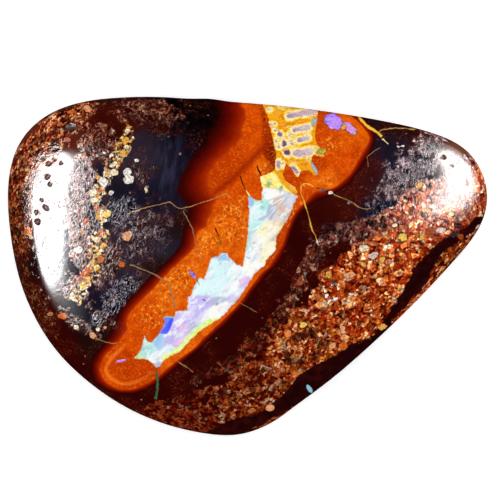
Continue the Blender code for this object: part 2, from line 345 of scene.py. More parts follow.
# Hairline cracks and veinlets: points, width and tone, which is a place on the cracks' ramp
cracks = [
    ([(8.44, 12.3), (9.4, 11.15), (10.04, 10.75), (10.67, 10.27)], 0.26, 0.12),
    ([(10.67, 10.08), (11.14, 9.62)], 0.16, 0.0),
    ([(10.35, 10.6), (10.81, 10.83), (11.73, 10.96), (13.37, 10.83)], 0.09, 0.2),
    ([(-9.48, 4.13), (-8.45, 4.52), (-6.7, 4.92), (-6.07, 5.08), (-5.67, 4.68), (-5.35, 4.52),
      (-4.56, 4.68), (-3.37, 5.08), (-2.18, 5.47), (-1.63, 5.79)], 0.09, 0.25),
    ([(-5.18, 4.51), (-4.78, 3.86), (-4.32, 2.94), (-4.13, 1.94), (-4.06, 1.29), (-3.67, 0.7),
      (-3.4, 0.36)], 0.07, 0.45),
    ([(-9.32, 0.1), (-8.92, -0.02), (-8, -0.36), (-7.15, -0.75), (-6.43, -1.21), (-6.1, -1.48),
      (-6.03, -2), (-5.83, -2.66), (-5.74, -3.32)], 0.14, 0.45),
    ([(-11.97, -5.65), (-11.44, -5.95), (-10.91, -6.08), (-10.26, -6.11)], 0.07, 0.4),
    ([(-5.59, -7.49), (-4.93, -7.89), (-4.28, -8.41)], 0.08, 0.38),
    ([(4.26, 6.43), (4.22, 5.71), (4.52, 4.98), (4.85, 3.86), (5.11, 2.87), (5.43, 2.22),
      (5.64, 1.63)], 0.11, 0.15),
    ([(4.32, 6.47), (4.8, 6.51), (5.28, 6.26)], 0.09, 0.1),
    ([(5.42, 6.19), (6.4, 5.87)], 0.15, 1.0),
    ([(6.8, 5.7), (7.58, 5.34), (8.24, 5.08), (8.77, 4.68), (9.16, 4.51), (9.76, 4.55)], 0.07, 0.3),
    ([(10.54, 9.38), (10.02, 9.08), (9.42, 8.62), (9.56, 7.84)], 0.05, 0.35),
    ([(-7.26, -8.17), (-7.1, -9.04), (-7.14, -9.84), (-7.26, -10.55)], 0.26, 0.62),
    ([(-2.55, 3.06), (-2.3, 2.35)], 0.14, 1.0),
    ([(-2.29, 2.3), (-2.08, 1.6)], 0.14, 0.74),
    ([(-0.56, 7.14), (-0.4, 6.58), (-0.16, 6.03)], 0.12, 1.0),
    ([(-0.14, 6.0), (0.2, 5.55)], 0.12, 0.0),
    ([(0.75, 7.93), (0.91, 7.54), (1.11, 7.1)], 0.13, 1.0),
    ([(-0.75, -2.86), (-0.12, -3.17), (0.75, -3.65)], 0.05, 0.35),
    ([(-4.0, -1.03), (-3.79, -1.54)], 0.07, 0.95),
    ([(-3.53, -2.59), (-3.27, -2.75)], 0.07, 0.95),
    ([(-2.48, -2.92), (-2.35, -3.12)], 0.07, 0.95),
]
# Small windows of opal: middle, length, width, direction and tone, a place on the windows' ramp
opalWindows = [
    (6.82, 11.42, 1.45, 1.2, -50, 0.45), (8.1, 10.88, 1.25, 0.7, -42, 0.1),
    (5.26, 11.4, 0.8, 0.32, 65, 0.95), (5.3, 7.72, 0.28, 1.15, 25, 1.0),
    (-4.3, -0.69, 0.95, 0.27, -49, 0.45), (-10.05, -7.5, 1.1, 0.2, 14, 0.2),
]
# A pale chip at the rim and a clump in the sand: middle, half length, half width and direction
rimChip = (4.9, -9.7, 0.45, 0.2, -55)
sandClump = (4.6, -6.4, 1.9, 1.25, 25)


def smoothed(outline, steps=4):
    # A closed Catmull-Rom curve through the points, with this many steps a side
    knots = np.array(outline)
    before, after, further = (np.roll(knots, shift, axis=0)[:, None] for shift in (1, -1, -2))
    t = np.linspace(0, 1, steps, endpoint=False)[None, :, None]
    p = knots[:, None]
    curve = 0.5 * (2 * p + (after - before) * t + (2 * before - 5 * p + 4 * after - further) * t**2
                   + (3 * p - before - 3 * after + further) * t**3)
    return curve.reshape(-1, 2)


def toSegment(x, y, start, end):
    # Distance to the nearest point of a segment, the side of it that the point is on, the place
    # along it in mm, which is under 0 or over its length past the ends, and the length
    ex, ey = end[0] - start[0], end[1] - start[1]
    length = math.hypot(ex, ey)
    along = ((x - start[0]) * ex + (y - start[1]) * ey) / length
    share = (along / length).clip(0, 1)
    gap = np.hypot(x - start[0] - share * ex, y - start[1] - share * ey)
    return gap, np.sign(ex * (y - start[1]) - ey * (x - start[0])), along, length


def inDepth(x, y, outline):
    # Distance to the outline's sides, positive inside: inside is an odd number of sides crossed
    outline = np.asarray(outline)
    best, inside = np.full(x.shape, np.inf), np.zeros(x.shape, bool)
    for start, end in zip(outline, np.roll(outline, -1, axis=0)):
        best = np.minimum(best, toSegment(x, y, start, end)[0])
        if start[1] != end[1]:
            cut = start[0] + (y - start[1]) * (end[0] - start[0]) / (end[1] - start[1])
            inside ^= ((start[1] > y) != (end[1] > y)) & (x < cut)
    return np.where(inside, best, -best)


def alongLine(x, y, line, width):
    # 1 on the line, falling as a bell curve of this half width
    best = np.full(x.shape, np.inf)
    for start, end in zip(line[:-1], line[1:]):
        best = np.minimum(best, toSegment(x, y, start, end)[0])
    return np.exp(-((best / width) ** 2))


def softAreas(x, y, areas):
    # The greatest of the ovals' bell curves, each as strong at its middle as its sixth number says
    return np.max([area[5] * np.exp(-ovalDistance(x, y, *area[:5])) for area in areas], axis=0)


def ovalDepths(x, y, ovals):
    # For each oval, given by its whole length and width, 1 at its middle and 0 at its edge
    return np.array([1 - ovalDistance(x, y, a, b, c / 2, d / 2, e) for a, b, c, d, e, _ in ovals])


def roundedCells(x, y):
    # Depth inside the nearest rounded box, and that cell's darkness at this point of its length
    depth, darkness = np.full(x.shape, -np.inf), np.zeros(x.shape)
    for middleX, middleY, length, width, turn, left, right in webCells:
        c, s = math.cos(math.radians(turn)), math.sin(math.radians(turn))
        corner = pattern["cellCorner"] * min(length, width)
        along = (x - middleX) * c + (y - middleY) * s
        across = np.abs((y - middleY) * c - (x - middleX) * s) - width / 2 + corner
        past = np.abs(along) - length / 2 + corner
        inside = corner - np.hypot(past.clip(0), across.clip(0)) - np.maximum(past, across).clip(None, 0)
        share = (along / length + pattern["cellShadeStart"]).clip(0, 1) ** pattern["cellShadeEase"]
        darkness = np.where(inside > depth, left + (right - left) * share, darkness)
        depth = np.maximum(depth, inside)
    return depth, darkness


def crackFields(x, y):
    # For the nearest crack: signed distance to its line, distance past its ends (under 0 along it),
    # nearness, half width and tone
    best, side = np.full(x.shape, np.inf), np.zeros(x.shape)
    past, half, tone = np.zeros(x.shape), np.zeros(x.shape), np.zeros(x.shape)
    for line, width, shade in cracks:
        last = len(line) - 2
        for number, (start, end) in enumerate(zip(line[:-1], line[1:])):
            gap, which, along, length = toSegment(x, y, start, end)
            near = gap < best
            before = -along if number == 0 else -1
            beyond = along - length if number == last else -1
            best = np.where(near, gap, best)
            side = np.where(near, gap * which, side)
            past = np.where(near, np.maximum(np.maximum(before, beyond), -1), past)
            half = np.where(near, width / 2, half)
            tone = np.where(near, shade, tone)
    nearness = (1 - best / pattern["crackReach"]).clip(0, 1)
    return {
        "crackSide": side, "crackPast": past, "crackNear": nearness,
        "crackHalf": half, "crackTone": tone,
    }


# Colours that lie in soft patches: each patch is middle x and y, half length, half width,
# direction in degrees, and a name from the palette

groundPalette = {
    "black": (6, 2, 3), "navy": (25, 21, 37), "maroon": (52, 4, 2), "darkRed": (62, 10, 5),
    "rust": (95, 35, 20), "ash": (44, 36, 48), "tan": (115, 66, 44), "umber": (34, 12, 9),
}
# The navy and ash patches paint the blue-grey haze that a reflection lays over the dark ironstone: a painted
# reflection
groundPatches = [
    (-3.8, 12.2, 1.9, 1.0, 0, "black"), (-3.2, 10, 1, 1.3, 0, "black"),
    (-5.3, 8.3, 1.4, 1.9, 0, "navy"), (-6.7, 6, 1.4, 1.4, 0, "navy"), (-7.7, 8.4, 1.1, 1.3, 0, "ash"),
    (-10.9, 11.8, 1.9, 0.8, 0, "darkRed"), (-12.7, 13.2, 1.6, 0.5, 0, "umber"),
    (-14.9, 11.4, 1.3, 1, 0, "rust"), (-17.5, 8, 1.1, 2.1, 0, "rust"),
    (-18.5, 3.3, 0.7, 1.9, 0, "rust"), (-18, -0.5, 0.7, 1.3, 0, "umber"),
    (-16.6, -3.6, 1.1, 1.3, 0, "darkRed"), (-15, -6.7, 1.6, 1.1, -45, "maroon"),
    (-12.9, -9.4, 1.6, 1.1, -45, "maroon"), (-10.1, -12.1, 2.1, 0.7, -30, "maroon"),
    (-11.7, -2.7, 1.6, 1.4, 0, "navy"), (-10.3, 0.3, 1.7, 1.7, 0, "ash"),
    (-7.7, 2.1, 1.7, 1.3, 0, "ash"), (-5.5, 3.2, 1.1, 0.8, 0, "umber"),
    (-7.7, 0.1, 1.1, 0.6, 0, "umber"), (-10.7, -4.8, 1.4, 0.7, 0, "umber"),
    (-4.4, -10.5, 1.6, 1, 30, "maroon"), (-2.3, -7.1, 1.6, 0.7, 45, "maroon"),
    (0.8, -3.6, 1.3, 1.6, -45, "maroon"), (3.2, -1.5, 1, 1.3, -45, "maroon"),
    (5, 2.7, 1.1, 1, 0, "maroon"), (7.2, 4, 1, 0.7, 0, "darkRed"), (8.3, 5.7, 1.1, 0.7, 0, "darkRed"),
    (10, 7.5, 0.8, 1, 0, "darkRed"), (11.3, 9, 1, 1.1, 0, "navy"), (12.1, 10.9, 1.4, 0.6, 10, "umber"),
    (14.5, 10, 1.1, 0.7, 20, "darkRed"), (12.3, 6.7, 1.6, 1.6, 0, "ash"),
    (10.2, 4.8, 1, 0.7, 0, "navy"), (16.5, 9, 1, 1, 0, "tan"), (18.4, 5.2, 0.7, 1.9, 0, "tan"),
    (-4.4, 9.6, 0.8, 1.6, 0, "black"), (-5, 10.6, 1, 1.1, 0, "black"),
    (-12.1, -6.3, 1, 0.7, 0, "umber"),
]

opalPalette = {
    "paleCyan": (222, 251, 253), "ice": (244, 252, 255), "cream": (255, 249, 204), "milk": (255, 255, 248),
    "lavender": (206, 194, 252), "sky": (156, 204, 248), "mint": (182, 244, 230), "smoke": (206, 188, 178),
    "rust": (208, 128, 84), "rose": (232, 196, 244), "steel": (184, 194, 218), "lime": (200, 242, 130),
    "aqua": (70, 232, 190), "gold": (255, 214, 120),
}
opalPatches = [
    (0.2, 5.2, 0.2, 0.5, 20, "sky"), (0.7, 4.1, 0.6, 0.7, 30, "paleCyan"),
    (1.2, 4.8, 0.5, 0.5, 0, "mint"), (1.6, 5.6, 0.6, 0.3, 0, "milk"),
    (2.35, 4.95, 0.5, 0.4, -20, "smoke"), (2.7, 4.6, 0.25, 0.42, 20, "rust"),
    (2.5, 4.0, 0.5, 0.4, 60, "smoke"), (3.3, 5.1, 0.3, 0.4, 0, "steel"),
    (3.4, 4.4, 0.25, 0.4, 60, "smoke"), (1.9, 4.4, 0.35, 0.6, 0, "steel"),
    (1.1, 3.75, 0.5, 0.15, 20, "steel"), (0.6, 3.1, 0.5, 0.25, 25, "mint"),
    (1.6, 2.9, 0.7, 0.5, 40, "cream"), (2.2, 3.3, 0.4, 0.2, 20, "gold"),
    (0.8, 1.8, 0.6, 0.7, 45, "milk"), (1.6, 1.4, 0.6, 0.6, 40, "cream"),
    (2.4, 2.3, 0.2, 0.6, -60, "smoke"), (0.4, 1.1, 0.3, 0.6, 0, "ice"), (0.1, 2.1, 0.2, 0.7, 0, "mint"),
    (-1.9, 0.7, 0.5, 0.25, 0, "sky"), (-2, 0, 0.9, 0.5, 0, "paleCyan"),
    (-2, -0.8, 1, 0.7, 30, "paleCyan"), (-0.8, -0.5, 0.6, 0.5, 40, "ice"),
    (0.1, -0.2, 0.5, 0.5, 40, "milk"), (-0.35, -1.2, 0.5, 0.25, 40, "rose"),
    (-1.3, -1.7, 0.7, 0.45, 45, "ice"), (-2.8, -1.7, 0.6, 0.5, 40, "paleCyan"),
    (-2.3, -2.75, 0.7, 0.2, 10, "steel"), (-1.3, -2.5, 0.35, 0.2, 40, "lavender"),
    (-3.5, -2.9, 0.7, 0.35, 30, "lavender"), (-2, -3.3, 0.6, 0.3, 45, "milk"),
    (-4.1, -3.9, 0.5, 0.4, 40, "lavender"), (-3, -4, 0.6, 0.3, 40, "milk"),
    (-4.9, -4.1, 0.5, 0.35, 20, "lavender"), (-6.4, -3.98, 0.34, 0.12, 0, "aqua"),
    (-5.1, -5.1, 0.5, 0.35, 40, "rose"), (-4.3, -4.9, 0.5, 0.3, 40, "steel"),
    (-3.4, -4.6, 0.5, 0.2, 40, "mint"), (-6.1, -5.8, 0.6, 0.35, 50, "lavender"),
    (-5.5, -5.9, 0.5, 0.3, 45, "rose"), (-5.3, -5.4, 0.6, 0.2, 40, "paleCyan"),
    (-6.9, -6.1, 0.5, 0.4, 45, "sky"), (-6.4, -6.7, 0.6, 0.35, 40, "paleCyan"),
    (-7.9, -6.6, 0.6, 0.5, 0, "mint"), (-7.3, -7.2, 0.5, 0.4, 0, "ice"),
    (-8.5, -7.25, 0.5, 0.2, 10, "lime"), (-7.1, -7.85, 0.25, 0.3, 0, "steel"),
]

bandPalette = {
    "amber": (244, 106, 6), "orange": (226, 82, 2), "burnt": (200, 62, 1), "ember": (150, 26, 1),
    "coal": (112, 16, 2),
}
bandPatches = [
    (0.3, 11.4, 0.9, 1.5, 0, "orange"), (-1.0, 9.0, 1, 0.9, 45, "burnt"),
    (0.1, 9.4, 0.7, 1, 0, "orange"), (1.65, 9.3, 0.3, 1.6, 8, "coal"),
    (1.3, 11.7, 0.2, 0.8, 12, "ember"), (-2.0, 7.1, 0.9, 0.6, 40, "burnt"),
    (-0.6, 6.3, 1.0, 0.5, 45, "orange"), (0.5, 6.6, 0.5, 0.9, 10, "orange"),
    (1.2, 7.9, 0.5, 0.5, 0, "amber"), (-1.5, 4.8, 1.1, 0.9, 0, "orange"), (-1.2, 3.5, 1, 1, 0, "amber"),
    (-3.1, 2.2, 1, 0.7, 0, "amber"), (-4.7, 0.3, 1.1, 0.8, -45, "amber"),
    (-6.3, -1.7, 1.1, 1, -45, "amber"), (-7.9, -3.6, 1, 1, 0, "orange"),
    (-8.1, -5.4, 0.7, 1, 0, "orange"), (-9.7, -8.1, 1.6, 0.7, 0, "burnt"),
    (-8.5, -8.6, 1, 0.6, 0, "burnt"), (-10.9, -8.4, 0.5, 0.8, 0, "orange"),
    (-5.7, -7.3, 1, 0.3, 40, "amber"), (-2.6, -5.1, 1.1, 0.3, 40, "amber"),
    (0.2, -1.7, 1.1, 0.3, 50, "amber"), (2.3, 1.1, 1, 0.3, 55, "burnt"),
    (3.1, 3.2, 0.7, 0.3, 60, "burnt"), (4.3, 5.2, 0.6, 0.6, 0, "orange"),
    (6.5, 6.5, 1, 0.4, 0, "amber"), (7.7, 8.4, 0.8, 1.1, -40, "orange"),
    (6.5, 9.2, 0.6, 0.7, 0, "orange"), (8.4, 10.4, 0.7, 0.7, 0, "amber"),
    (6.5, 10.6, 0.6, 0.6, 0, "orange"), (5.9, 11.7, 0.4, 0.7, 0, "burnt"),
    (3.5, 6.8, 0.5, 0.6, 0, "burnt"), (5.8, 8.1, 0.6, 0.6, 0, "burnt"),
    (6.4, 7.3, 0.6, 0.5, 0, "amber"), (8.45, 8.9, 0.35, 0.35, 0, "burnt"),
]

# Fields of grains: middle x and y, half length, half width, direction, how strongly they show,
# how cool their colour is and how light
# The light, cool field at x -13, y 4 beside the left highlight, and the cool fields at x 12.7, y 7.0 and at
# x 14.3, y 9.5 beside the right highlight, are partly pale grains and partly the highlights' grainy falloff,
# painted in as a painted reflection
grainFields = [
    (-16.9, 8.4, 4.3, 1.5, 52, 1.2, 0.1, 0.9), (-14.7, 11.6, 2.4, 1.3, 25, 1.2, 0.1, 0.95),
    (-18.1, 4.0, 3.6, 1.0, 88, 1.2, 0.0, 0.5), (-16.8, -2.7, 2.9, 0.9, -66, 0.9, 0.0, 0.3),
    (-13.0, 4.0, 1.1, 5.2, 0, 1.1, 0.75, 1.3), (-13.6, -1.8, 1.3, 1.1, 0, 0.9, 0.6, 0.9),
    (-11.7, 9.8, 1.8, 1.6, 0, 1.0, 0.35, 0.6), (-8.0, 12.2, 2.6, 1.1, -4, 1.1, 0.35, 0.55),
    (-6.5, 11.0, 1.6, 0.9, 0, 0.7, 0.5, 0.14), (-8.5, 2.7, 3.1, 2.3, 40, 0.6, 0.6, 0.24),
    (-9.3, -1.9, 3.2, 1.4, 45, 0.5, 0.8, 0.2), (-13.3, -4.7, 2.4, 0.8, -35, 0.7, 0.1, 0.3),
    (-11.1, -4.1, 2.1, 0.9, -30, 0.7, 0.1, 0.22), (-10.9, 0.3, 1.2, 2.3, -20, 0.9, 0.5, 0.45),
    (12.7, 7.0, 3.2, 1.7, 32, 0.9, 0.95, 1.0), (14.3, 9.5, 1.6, 1.1, 20, 1.0, 0.85, 1.3),
    (9.2, 2.9, 3.2, 1.0, 15, 1.0, 0.55, 0.6), (5.3, 0.7, 1.7, 0.8, 55, 1.0, 0.45, 0.6),
    (3.6, -2.4, 2.2, 0.6, 52, 1.0, 0.3, 0.6), (0.4, -6.2, 2.6, 0.8, 42, 1.0, 0.1, 0.34),
    (-2.8, -8.3, 2.4, 0.5, 32, 0.9, 0.3, 0.3), (-5.5, -11.6, 3.2, 1.4, 10, 1.0, 0.0, 0.34),
    (0, -9.6, 3.2, 1.8, 40, 1.0, 0.0, 0.55), (4.5, -6.0, 3.4, 2.2, 45, 1.0, 0.0, 0.9),
    (8.6, -2.6, 3.4, 2.6, 45, 1.0, 0.0, 1.05), (11.2, 1.0, 3.4, 2.2, 40, 1.0, 0.0, 1.3),
    (14.3, 4.6, 3.0, 1.9, 30, 1.0, 0.3, 1.9), (17.2, 3.9, 1.6, 1.0, 60, 1.0, 0.2, 1.1),
    (16.5, 1.4, 1.6, 0.8, 45, 1.0, 0.0, 0.7), (-8.3, 7.6, 1.5, 2.2, 0, 0.5, 0.9, 0.2),
]

# Single grains that stand out: middle x and y, length, width, direction, colour
grainPalette = {
    "cream": (255, 238, 200), "white": (255, 250, 238), "gold": (240, 176, 76), "orange": (216, 104, 30),
    "deep": (168, 66, 16), "peach": (236, 164, 112), "pink": (200, 112, 94), "tan": (184, 122, 76),
    "navy": (22, 32, 52), "black": (8, 5, 7), "yellow": (255, 212, 92), "slate": (112, 116, 134),
    "pale": (238, 210, 196), "lime": (196, 186, 66),
}
singleGrains = [
    (-9.5, 10.7, 0.5, 0.35, 20, "cream"), (-9.65, 9.9, 0.7, 0.5, 60, "gold"),
    (-9.55, 9.45, 0.4, 0.3, 0, "cream"), (-9.9, 8.95, 0.65, 0.5, 60, "gold"),
    (-10.15, 8.45, 0.3, 0.25, 0, "cream"), (-10.6, 8.05, 0.7, 0.3, 35, "cream"),
    (-10.5, 7.4, 0.7, 0.55, 0, "cream"), (-9.5, 7.45, 0.65, 0.6, 0, "white"),
    (-9.4, 6.8, 0.8, 0.7, 0, "white"), (-11.4, 6.65, 0.85, 0.7, 90, "white"),
    (-11.1, 7.25, 0.4, 0.3, 0, "gold"), (-12.2, 5.8, 0.65, 0.6, 0, "cream"),
    (-11.6, 6.0, 0.5, 0.4, 0, "orange"), (-10.75, 5.8, 0.4, 0.4, 0, "white"),
    (-12.15, 5.2, 0.7, 0.4, 10, "cream"), (-11.25, 5.25, 0.7, 0.65, 90, "navy"),
    (-12.5, 4.7, 0.7, 0.65, 0, "navy"), (-11.95, 4.65, 0.4, 0.3, 0, "orange"),
    (-12.35, 4.05, 1.0, 0.7, 90, "navy"), (-11.95, 3.15, 0.8, 0.65, 0, "navy"),
    (-11.15, 4.1, 0.7, 0.55, 30, "yellow"), (-12.8, 3.6, 0.55, 0.4, -30, "orange"),
    (-11.55, 2.6, 0.55, 0.5, 0, "orange"), (-13.05, 2.75, 0.7, 0.4, 100, "peach"),
    (-9.5, 2.35, 0.85, 0.65, 60, "peach"), (-13.4, 1.3, 0.7, 0.5, 0, "white"),
    (-11.4, 1.6, 0.5, 0.5, 0, "gold"), (-11.75, 0.95, 0.5, 0.3, 0, "yellow"),
    (-11.55, 0.5, 0.65, 0.5, 0, "orange"), (-13.5, 0, 0.95, 0.5, 55, "navy"),
    (-12.65, 0.4, 0.65, 0.4, 20, "navy"), (-12.25, 0.3, 0.55, 0.4, 50, "gold"),
    (-12.5, -0.3, 0.65, 0.4, 30, "orange"), (-11.95, -0.15, 0.55, 0.4, 60, "yellow"),
    (-12.9, -0.7, 0.55, 0.5, 0, "orange"), (-13.05, -1.6, 0.8, 0.5, 70, "yellow"),
    (-12.65, -1.05, 0.55, 0.4, 60, "gold"), (-13.3, -0.95, 0.5, 0.4, 0, "pink"),
    (-13.9, -2.4, 0.55, 0.4, 100, "cream"), (-9.9, 0.1, 0.5, 0.4, 0, "orange"),
    (-14.65, -3.95, 0.7, 0.5, 0, "orange"), (-15.6, -3.8, 0.5, 0.3, 0, "tan"),
    (-13.55, -4.85, 0.4, 0.4, 0, "cream"), (-12.25, -5.5, 0.55, 0.5, 90, "peach"),
    (-11.85, -5.0, 0.4, 0.3, -40, "cream"), (-11.25, -4.85, 0.3, 0.25, 30, "peach"),
    (-11.85, 8.75, 0.3, 0.3, 0, "white"), (-8.75, 8.35, 0.4, 0.3, 0, "white"),
    (-8.0, 6.0, 0.55, 0.3, 110, "cream"), (-7.95, 6.25, 0.4, 0.3, 30, "slate"),
    (-14.0, 11.0, 0.95, 0.65, 0, "black"), (-12.65, 12.45, 0.65, 0.5, -30, "peach"),
    (-14.05, 12.2, 0.55, 0.3, 0, "orange"), (-16.8, 9.35, 0.65, 0.4, -40, "orange"),
    (-14.25, 10.0, 0.65, 0.4, -20, "pink"), (-17.4, 7.6, 0.55, 0.25, 0, "gold"),
    (-17.35, 2.75, 0.7, 0.7, 0, "orange"), (-17.15, 2.3, 0.5, 0.3, -60, "cream"),
    (12.25, 2.25, 0.7, 0.65, 70, "yellow"), (11.65, 3.2, 0.5, 0.3, 10, "cream"),
    (13.6, 6.35, 0.65, 0.4, 35, "gold"), (13.55, 5.3, 0.7, 0.4, 80, "orange"),
    (14.15, 4.4, 0.65, 0.4, -10, "gold"), (15.05, 4.35, 0.7, 0.4, 0, "pale"),
    (16.15, 4.15, 0.55, 0.4, -20, "yellow"), (14.9, 3.8, 0.65, 0.3, -10, "deep"),
    (14.45, 2.65, 0.85, 0.7, 60, "deep"), (13.8, 2.3, 0.65, 0.4, 90, "gold"),
    (15.3, 2.85, 0.8, 0.4, 10, "pale"), (14.0, 7.5, 1.5, 0.4, 36, "navy"),
    (12.95, 4.2, 0.55, 0.4, 0, "deep"), (16.9, 2.3, 0.55, 0.5, 0, "deep"),
    (16.4, 2.5, 0.8, 0.4, 30, "navy"), (13.8, 1.75, 0.4, 0.3, 0, "black"),
    (9.2, 1.4, 0.8, 0.55, 0, "cream"), (9.95, 0.85, 0.7, 0.55, 20, "pale"),
    (10.65, 0.5, 0.65, 0.5, 50, "gold"), (8.05, -0.7, 0.95, 0.5, 10, "peach"),
    (9.1, 0.15, 0.7, 0.3, -30, "gold"), (6.45, -0.65, 0.55, 0.5, 70, "gold"),
    (10.95, -0.25, 0.7, 0.4, 60, "orange"), (6.25, -2.35, 0.4, 0.3, 60, "white"),
    (6.45, -2.8, 0.5, 0.25, 55, "white"), (6.9, -2.65, 0.4, 0.3, 20, "white"),
    (8.15, -2.2, 0.6, 0.2, -10, "white"), (4.45, -4.65, 0.65, 0.4, 25, "yellow"),
    (10.7, -4.8, 0.7, 0.5, 15, "gold"), (7.55, -6.3, 0.7, 0.65, 0, "orange"),
    (6.7, -6.35, 0.65, 0.4, 50, "peach"), (1.8, -11.25, 0.65, 0.55, 20, "peach"),
    (6.57, 5.8, 0.4, 0.24, 0, "white"), (11.92, 9.48, 0.22, 0.2, 0, "white"),
    (12.3, 9.5, 0.3, 0.2, 20, "white"), (7.62, 10.99, 0.5, 0.4, 60, "gold"),
    (8.49, 10.55, 0.3, 0.24, 0, "pale"), (5.87, 9.08, 0.75, 0.4, 20, "lime"),
]

# Where the finer textures show: middle x and y, half length, half width, direction, strength
textureAreas = {
    "fibres": [
        (-8.4, 2.4, 3.4, 2.6, 40, 0.6), (-9.8, 4.2, 1.6, 1.6, 0, 0.9), (-10.2, -2.3, 2.8, 1.2, 55, 1.0),
        (-11.6, -4.0, 1.6, 0.8, 40, 0.9), (-12.8, 6.6, 1.2, 2.6, 0, 0.7), (12.6, 7.4, 2.8, 1.6, 30, 1.0),
        (10.6, 4.6, 1.8, 1.0, 30, 0.8), (14.2, 9.3, 1.4, 0.9, 20, 0.8), (7.3, 2.9, 2.2, 0.8, 10, 0.7),
        (-8.4, 8.2, 1.5, 1.5, 0, 0.35),
    ],
    # The painted sheen: a streaked blue-grey reflection painted into the colour of the dark ironstone
    "paintedSheen": [(-6.3, 7.9, 1.3, 2.6, 0, 1.0)],
    "mottle": [
        (-1.2, 3.4, 1.4, 2.0, 0, 1.0), (-3.2, 1.6, 1.3, 1.0, 40, 1.0), (-5.7, -1.4, 2.4, 1.1, 45, 1.0),
        (-7.6, -3.8, 1.3, 1.3, 0, 0.9), (3.6, 4.1, 0.4, 1.6, -28, 0.8), (2.4, 1.2, 0.3, 1.5, -40, 0.5),
        (1.3, 7.7, 0.7, 0.6, 0, 0.7), (6.5, 6.8, 1.6, 0.5, 10, 0.5), (-0.5, 5.3, 0.9, 0.9, 0, 0.5),
        (6.5, 9.6, 1.2, 1.0, 0, 0.7), (7.9, 10.6, 0.9, 0.6, -40, 0.5),
    ],
    "lobe": [(-9.7, -7.9, 2.3, 1.7, 15, 1.2)],
    "pored": [(-16.0, 3.6, 2.2, 5.2, 0, 1.0), (16.4, 7.0, 1.8, 2.4, 20, 1.0)],
}


def linearColour(picked):
    # A picker's 0 to 255 numbers to the light that they stand for
    value = np.array(picked) / 255
    return np.where(value <= 0.04045, value / 12.92, ((value + 0.055) / 1.055) ** 2.4)


def blendPatches(x, y, patches, values, crispness):
    # Each point takes the patches' values, weighted by exp(-crispness * squared oval distance)
    scores = np.array([-crispness * ovalDistance(x, y, *patch[:5]) for patch in patches])
    weights = np.exp(scores - scores.max(axis=0))
    return (weights.T @ np.array(values)) / weights.sum(axis=0)[:, None]


def patchColours(x, y, patches, palette, crispness):
    colours = [linearColour(palette[patch[5]]) for patch in patches]
    return blendPatches(x, y, patches, colours, crispness)


def keepNumbers(mesh, name, values):
    mesh.attributes.new(name, "FLOAT", "POINT").data.foreach_set("value", values.astype(np.float32))


def keepColours(mesh, name, colours):
    rgba = np.concatenate([colours, np.ones((len(colours), 1))], axis=1)
    data = mesh.attributes.new(name, "FLOAT_COLOR", "POINT").data
    data.foreach_set("color", rgba.astype(np.float32).ravel())


def paintPattern(mesh, places):
    # Every field is worked out at the point where it meets the face, moved sideways with depth
    depth = (stone["girdle"] - places[:, 2]).clip(0)
    x = places[:, 0] + pattern["lean"][0] * depth
    y = places[:, 1] + pattern["lean"][1] * depth
    closing = pattern["seamCloses"] * depth
    crispness = pattern["crispness"]

    bright = inDepth(x, y, smoothed(bandOutline))
    glow = inDepth(x, y, smoothed(glowOutline))
    ember = np.where(bright > 0, 1, glow / (glow - bright).clip(1e-6)).clip(0, 1)
    cell, darkness = roundedCells(x, y)
    windows = ovalDepths(x, y, opalWindows)
    grains = ovalDepths(x, y, singleGrains)
    looks = [field[6:] for field in grainFields]
    grainLooks = blendPatches(x, y, grainFields, looks, crispness["grains"])
    numbers = {
        "opalDepth": inDepth(x, y, opalOutline) - closing,
        "blueDepth": inDepth(x, y, blueShard),
        "lime": alongLine(x, y, limeFringe, pattern["limeWidth"]),
        "bandDepth": bright,
        "ember": (ember - pattern["bandFades"] * depth).clip(0, 1),
        "paintedShadowLine": alongLine(x, y, paintedShadowLine, pattern["shadowLineWidth"]),
        "webDepth": inDepth(x, y, webOutline) - closing,
        "flowDepth": inDepth(x, y, flowOutline) - closing,
        "cellDepth": cell,
        "cellDarkness": darkness,
        "sandDepth": inDepth(x, y, smoothed(sandOutline)),
        "darkDepth": inDepth(x, y, smoothed(darkOutline)),
        "fringe": alongLine(x, y, fringeLine, pattern["fringeWidth"]),
        "chain": alongLine(x, y, chainLine, pattern["chainWidth"]),
        "window": windows.max(axis=0) - closing,
        "windowTone": np.array([row[5] for row in opalWindows])[windows.argmax(axis=0)],
        "singleGrain": grains.max(axis=0).clip(-1, 1),
        "chip": 1 - ovalDistance(x, y, *rimChip),
        "clump": 1 - ovalDistance(x, y, *sandClump),
        "pit": np.where(places[:, 2] > stone["girdle"], pitDepth(x, y), 0),
        "sawn": depth / stone["girdle"],
        "grainField": softAreas(x, y, grainFields),
        "grainCool": grainLooks[:, 0],
        "grainLight": grainLooks[:, 1],
    }
    numbers.update(crackFields(x, y))
    numbers.update({name: softAreas(x, y, areas) for name, areas in textureAreas.items()})
    for name, values in numbers.items():
        keepNumbers(mesh, name, values)
    for name, patches, palette in [
        ("ground", groundPatches, groundPalette),
        ("opal", opalPatches, opalPalette),
        ("band", bandPatches, bandPalette),
    ]:
        keepColours(mesh, name, patchColours(x, y, patches, palette, crispness[name]))
    picked = np.array([linearColour(grainPalette[row[5]]) for row in singleGrains])
    keepColours(mesh, "grainColour", picked[grains.argmax(axis=0)])


# Places and sizes in the bake map, as shares of its side; the two scales are for each mm
bakeMap = {
    "faceMiddle": (0.53, 0.60),
    "faceScale": 0.0247,
    "backMiddle": (0.17, 0.11),
    "backScale": 0.0075,
    "wallCorner": (0.36, 0.02),
    "wallSize": (0.60, 0.12),
    "wrapGap": 0.3,             # a wall cell wider than this closes the ring
}


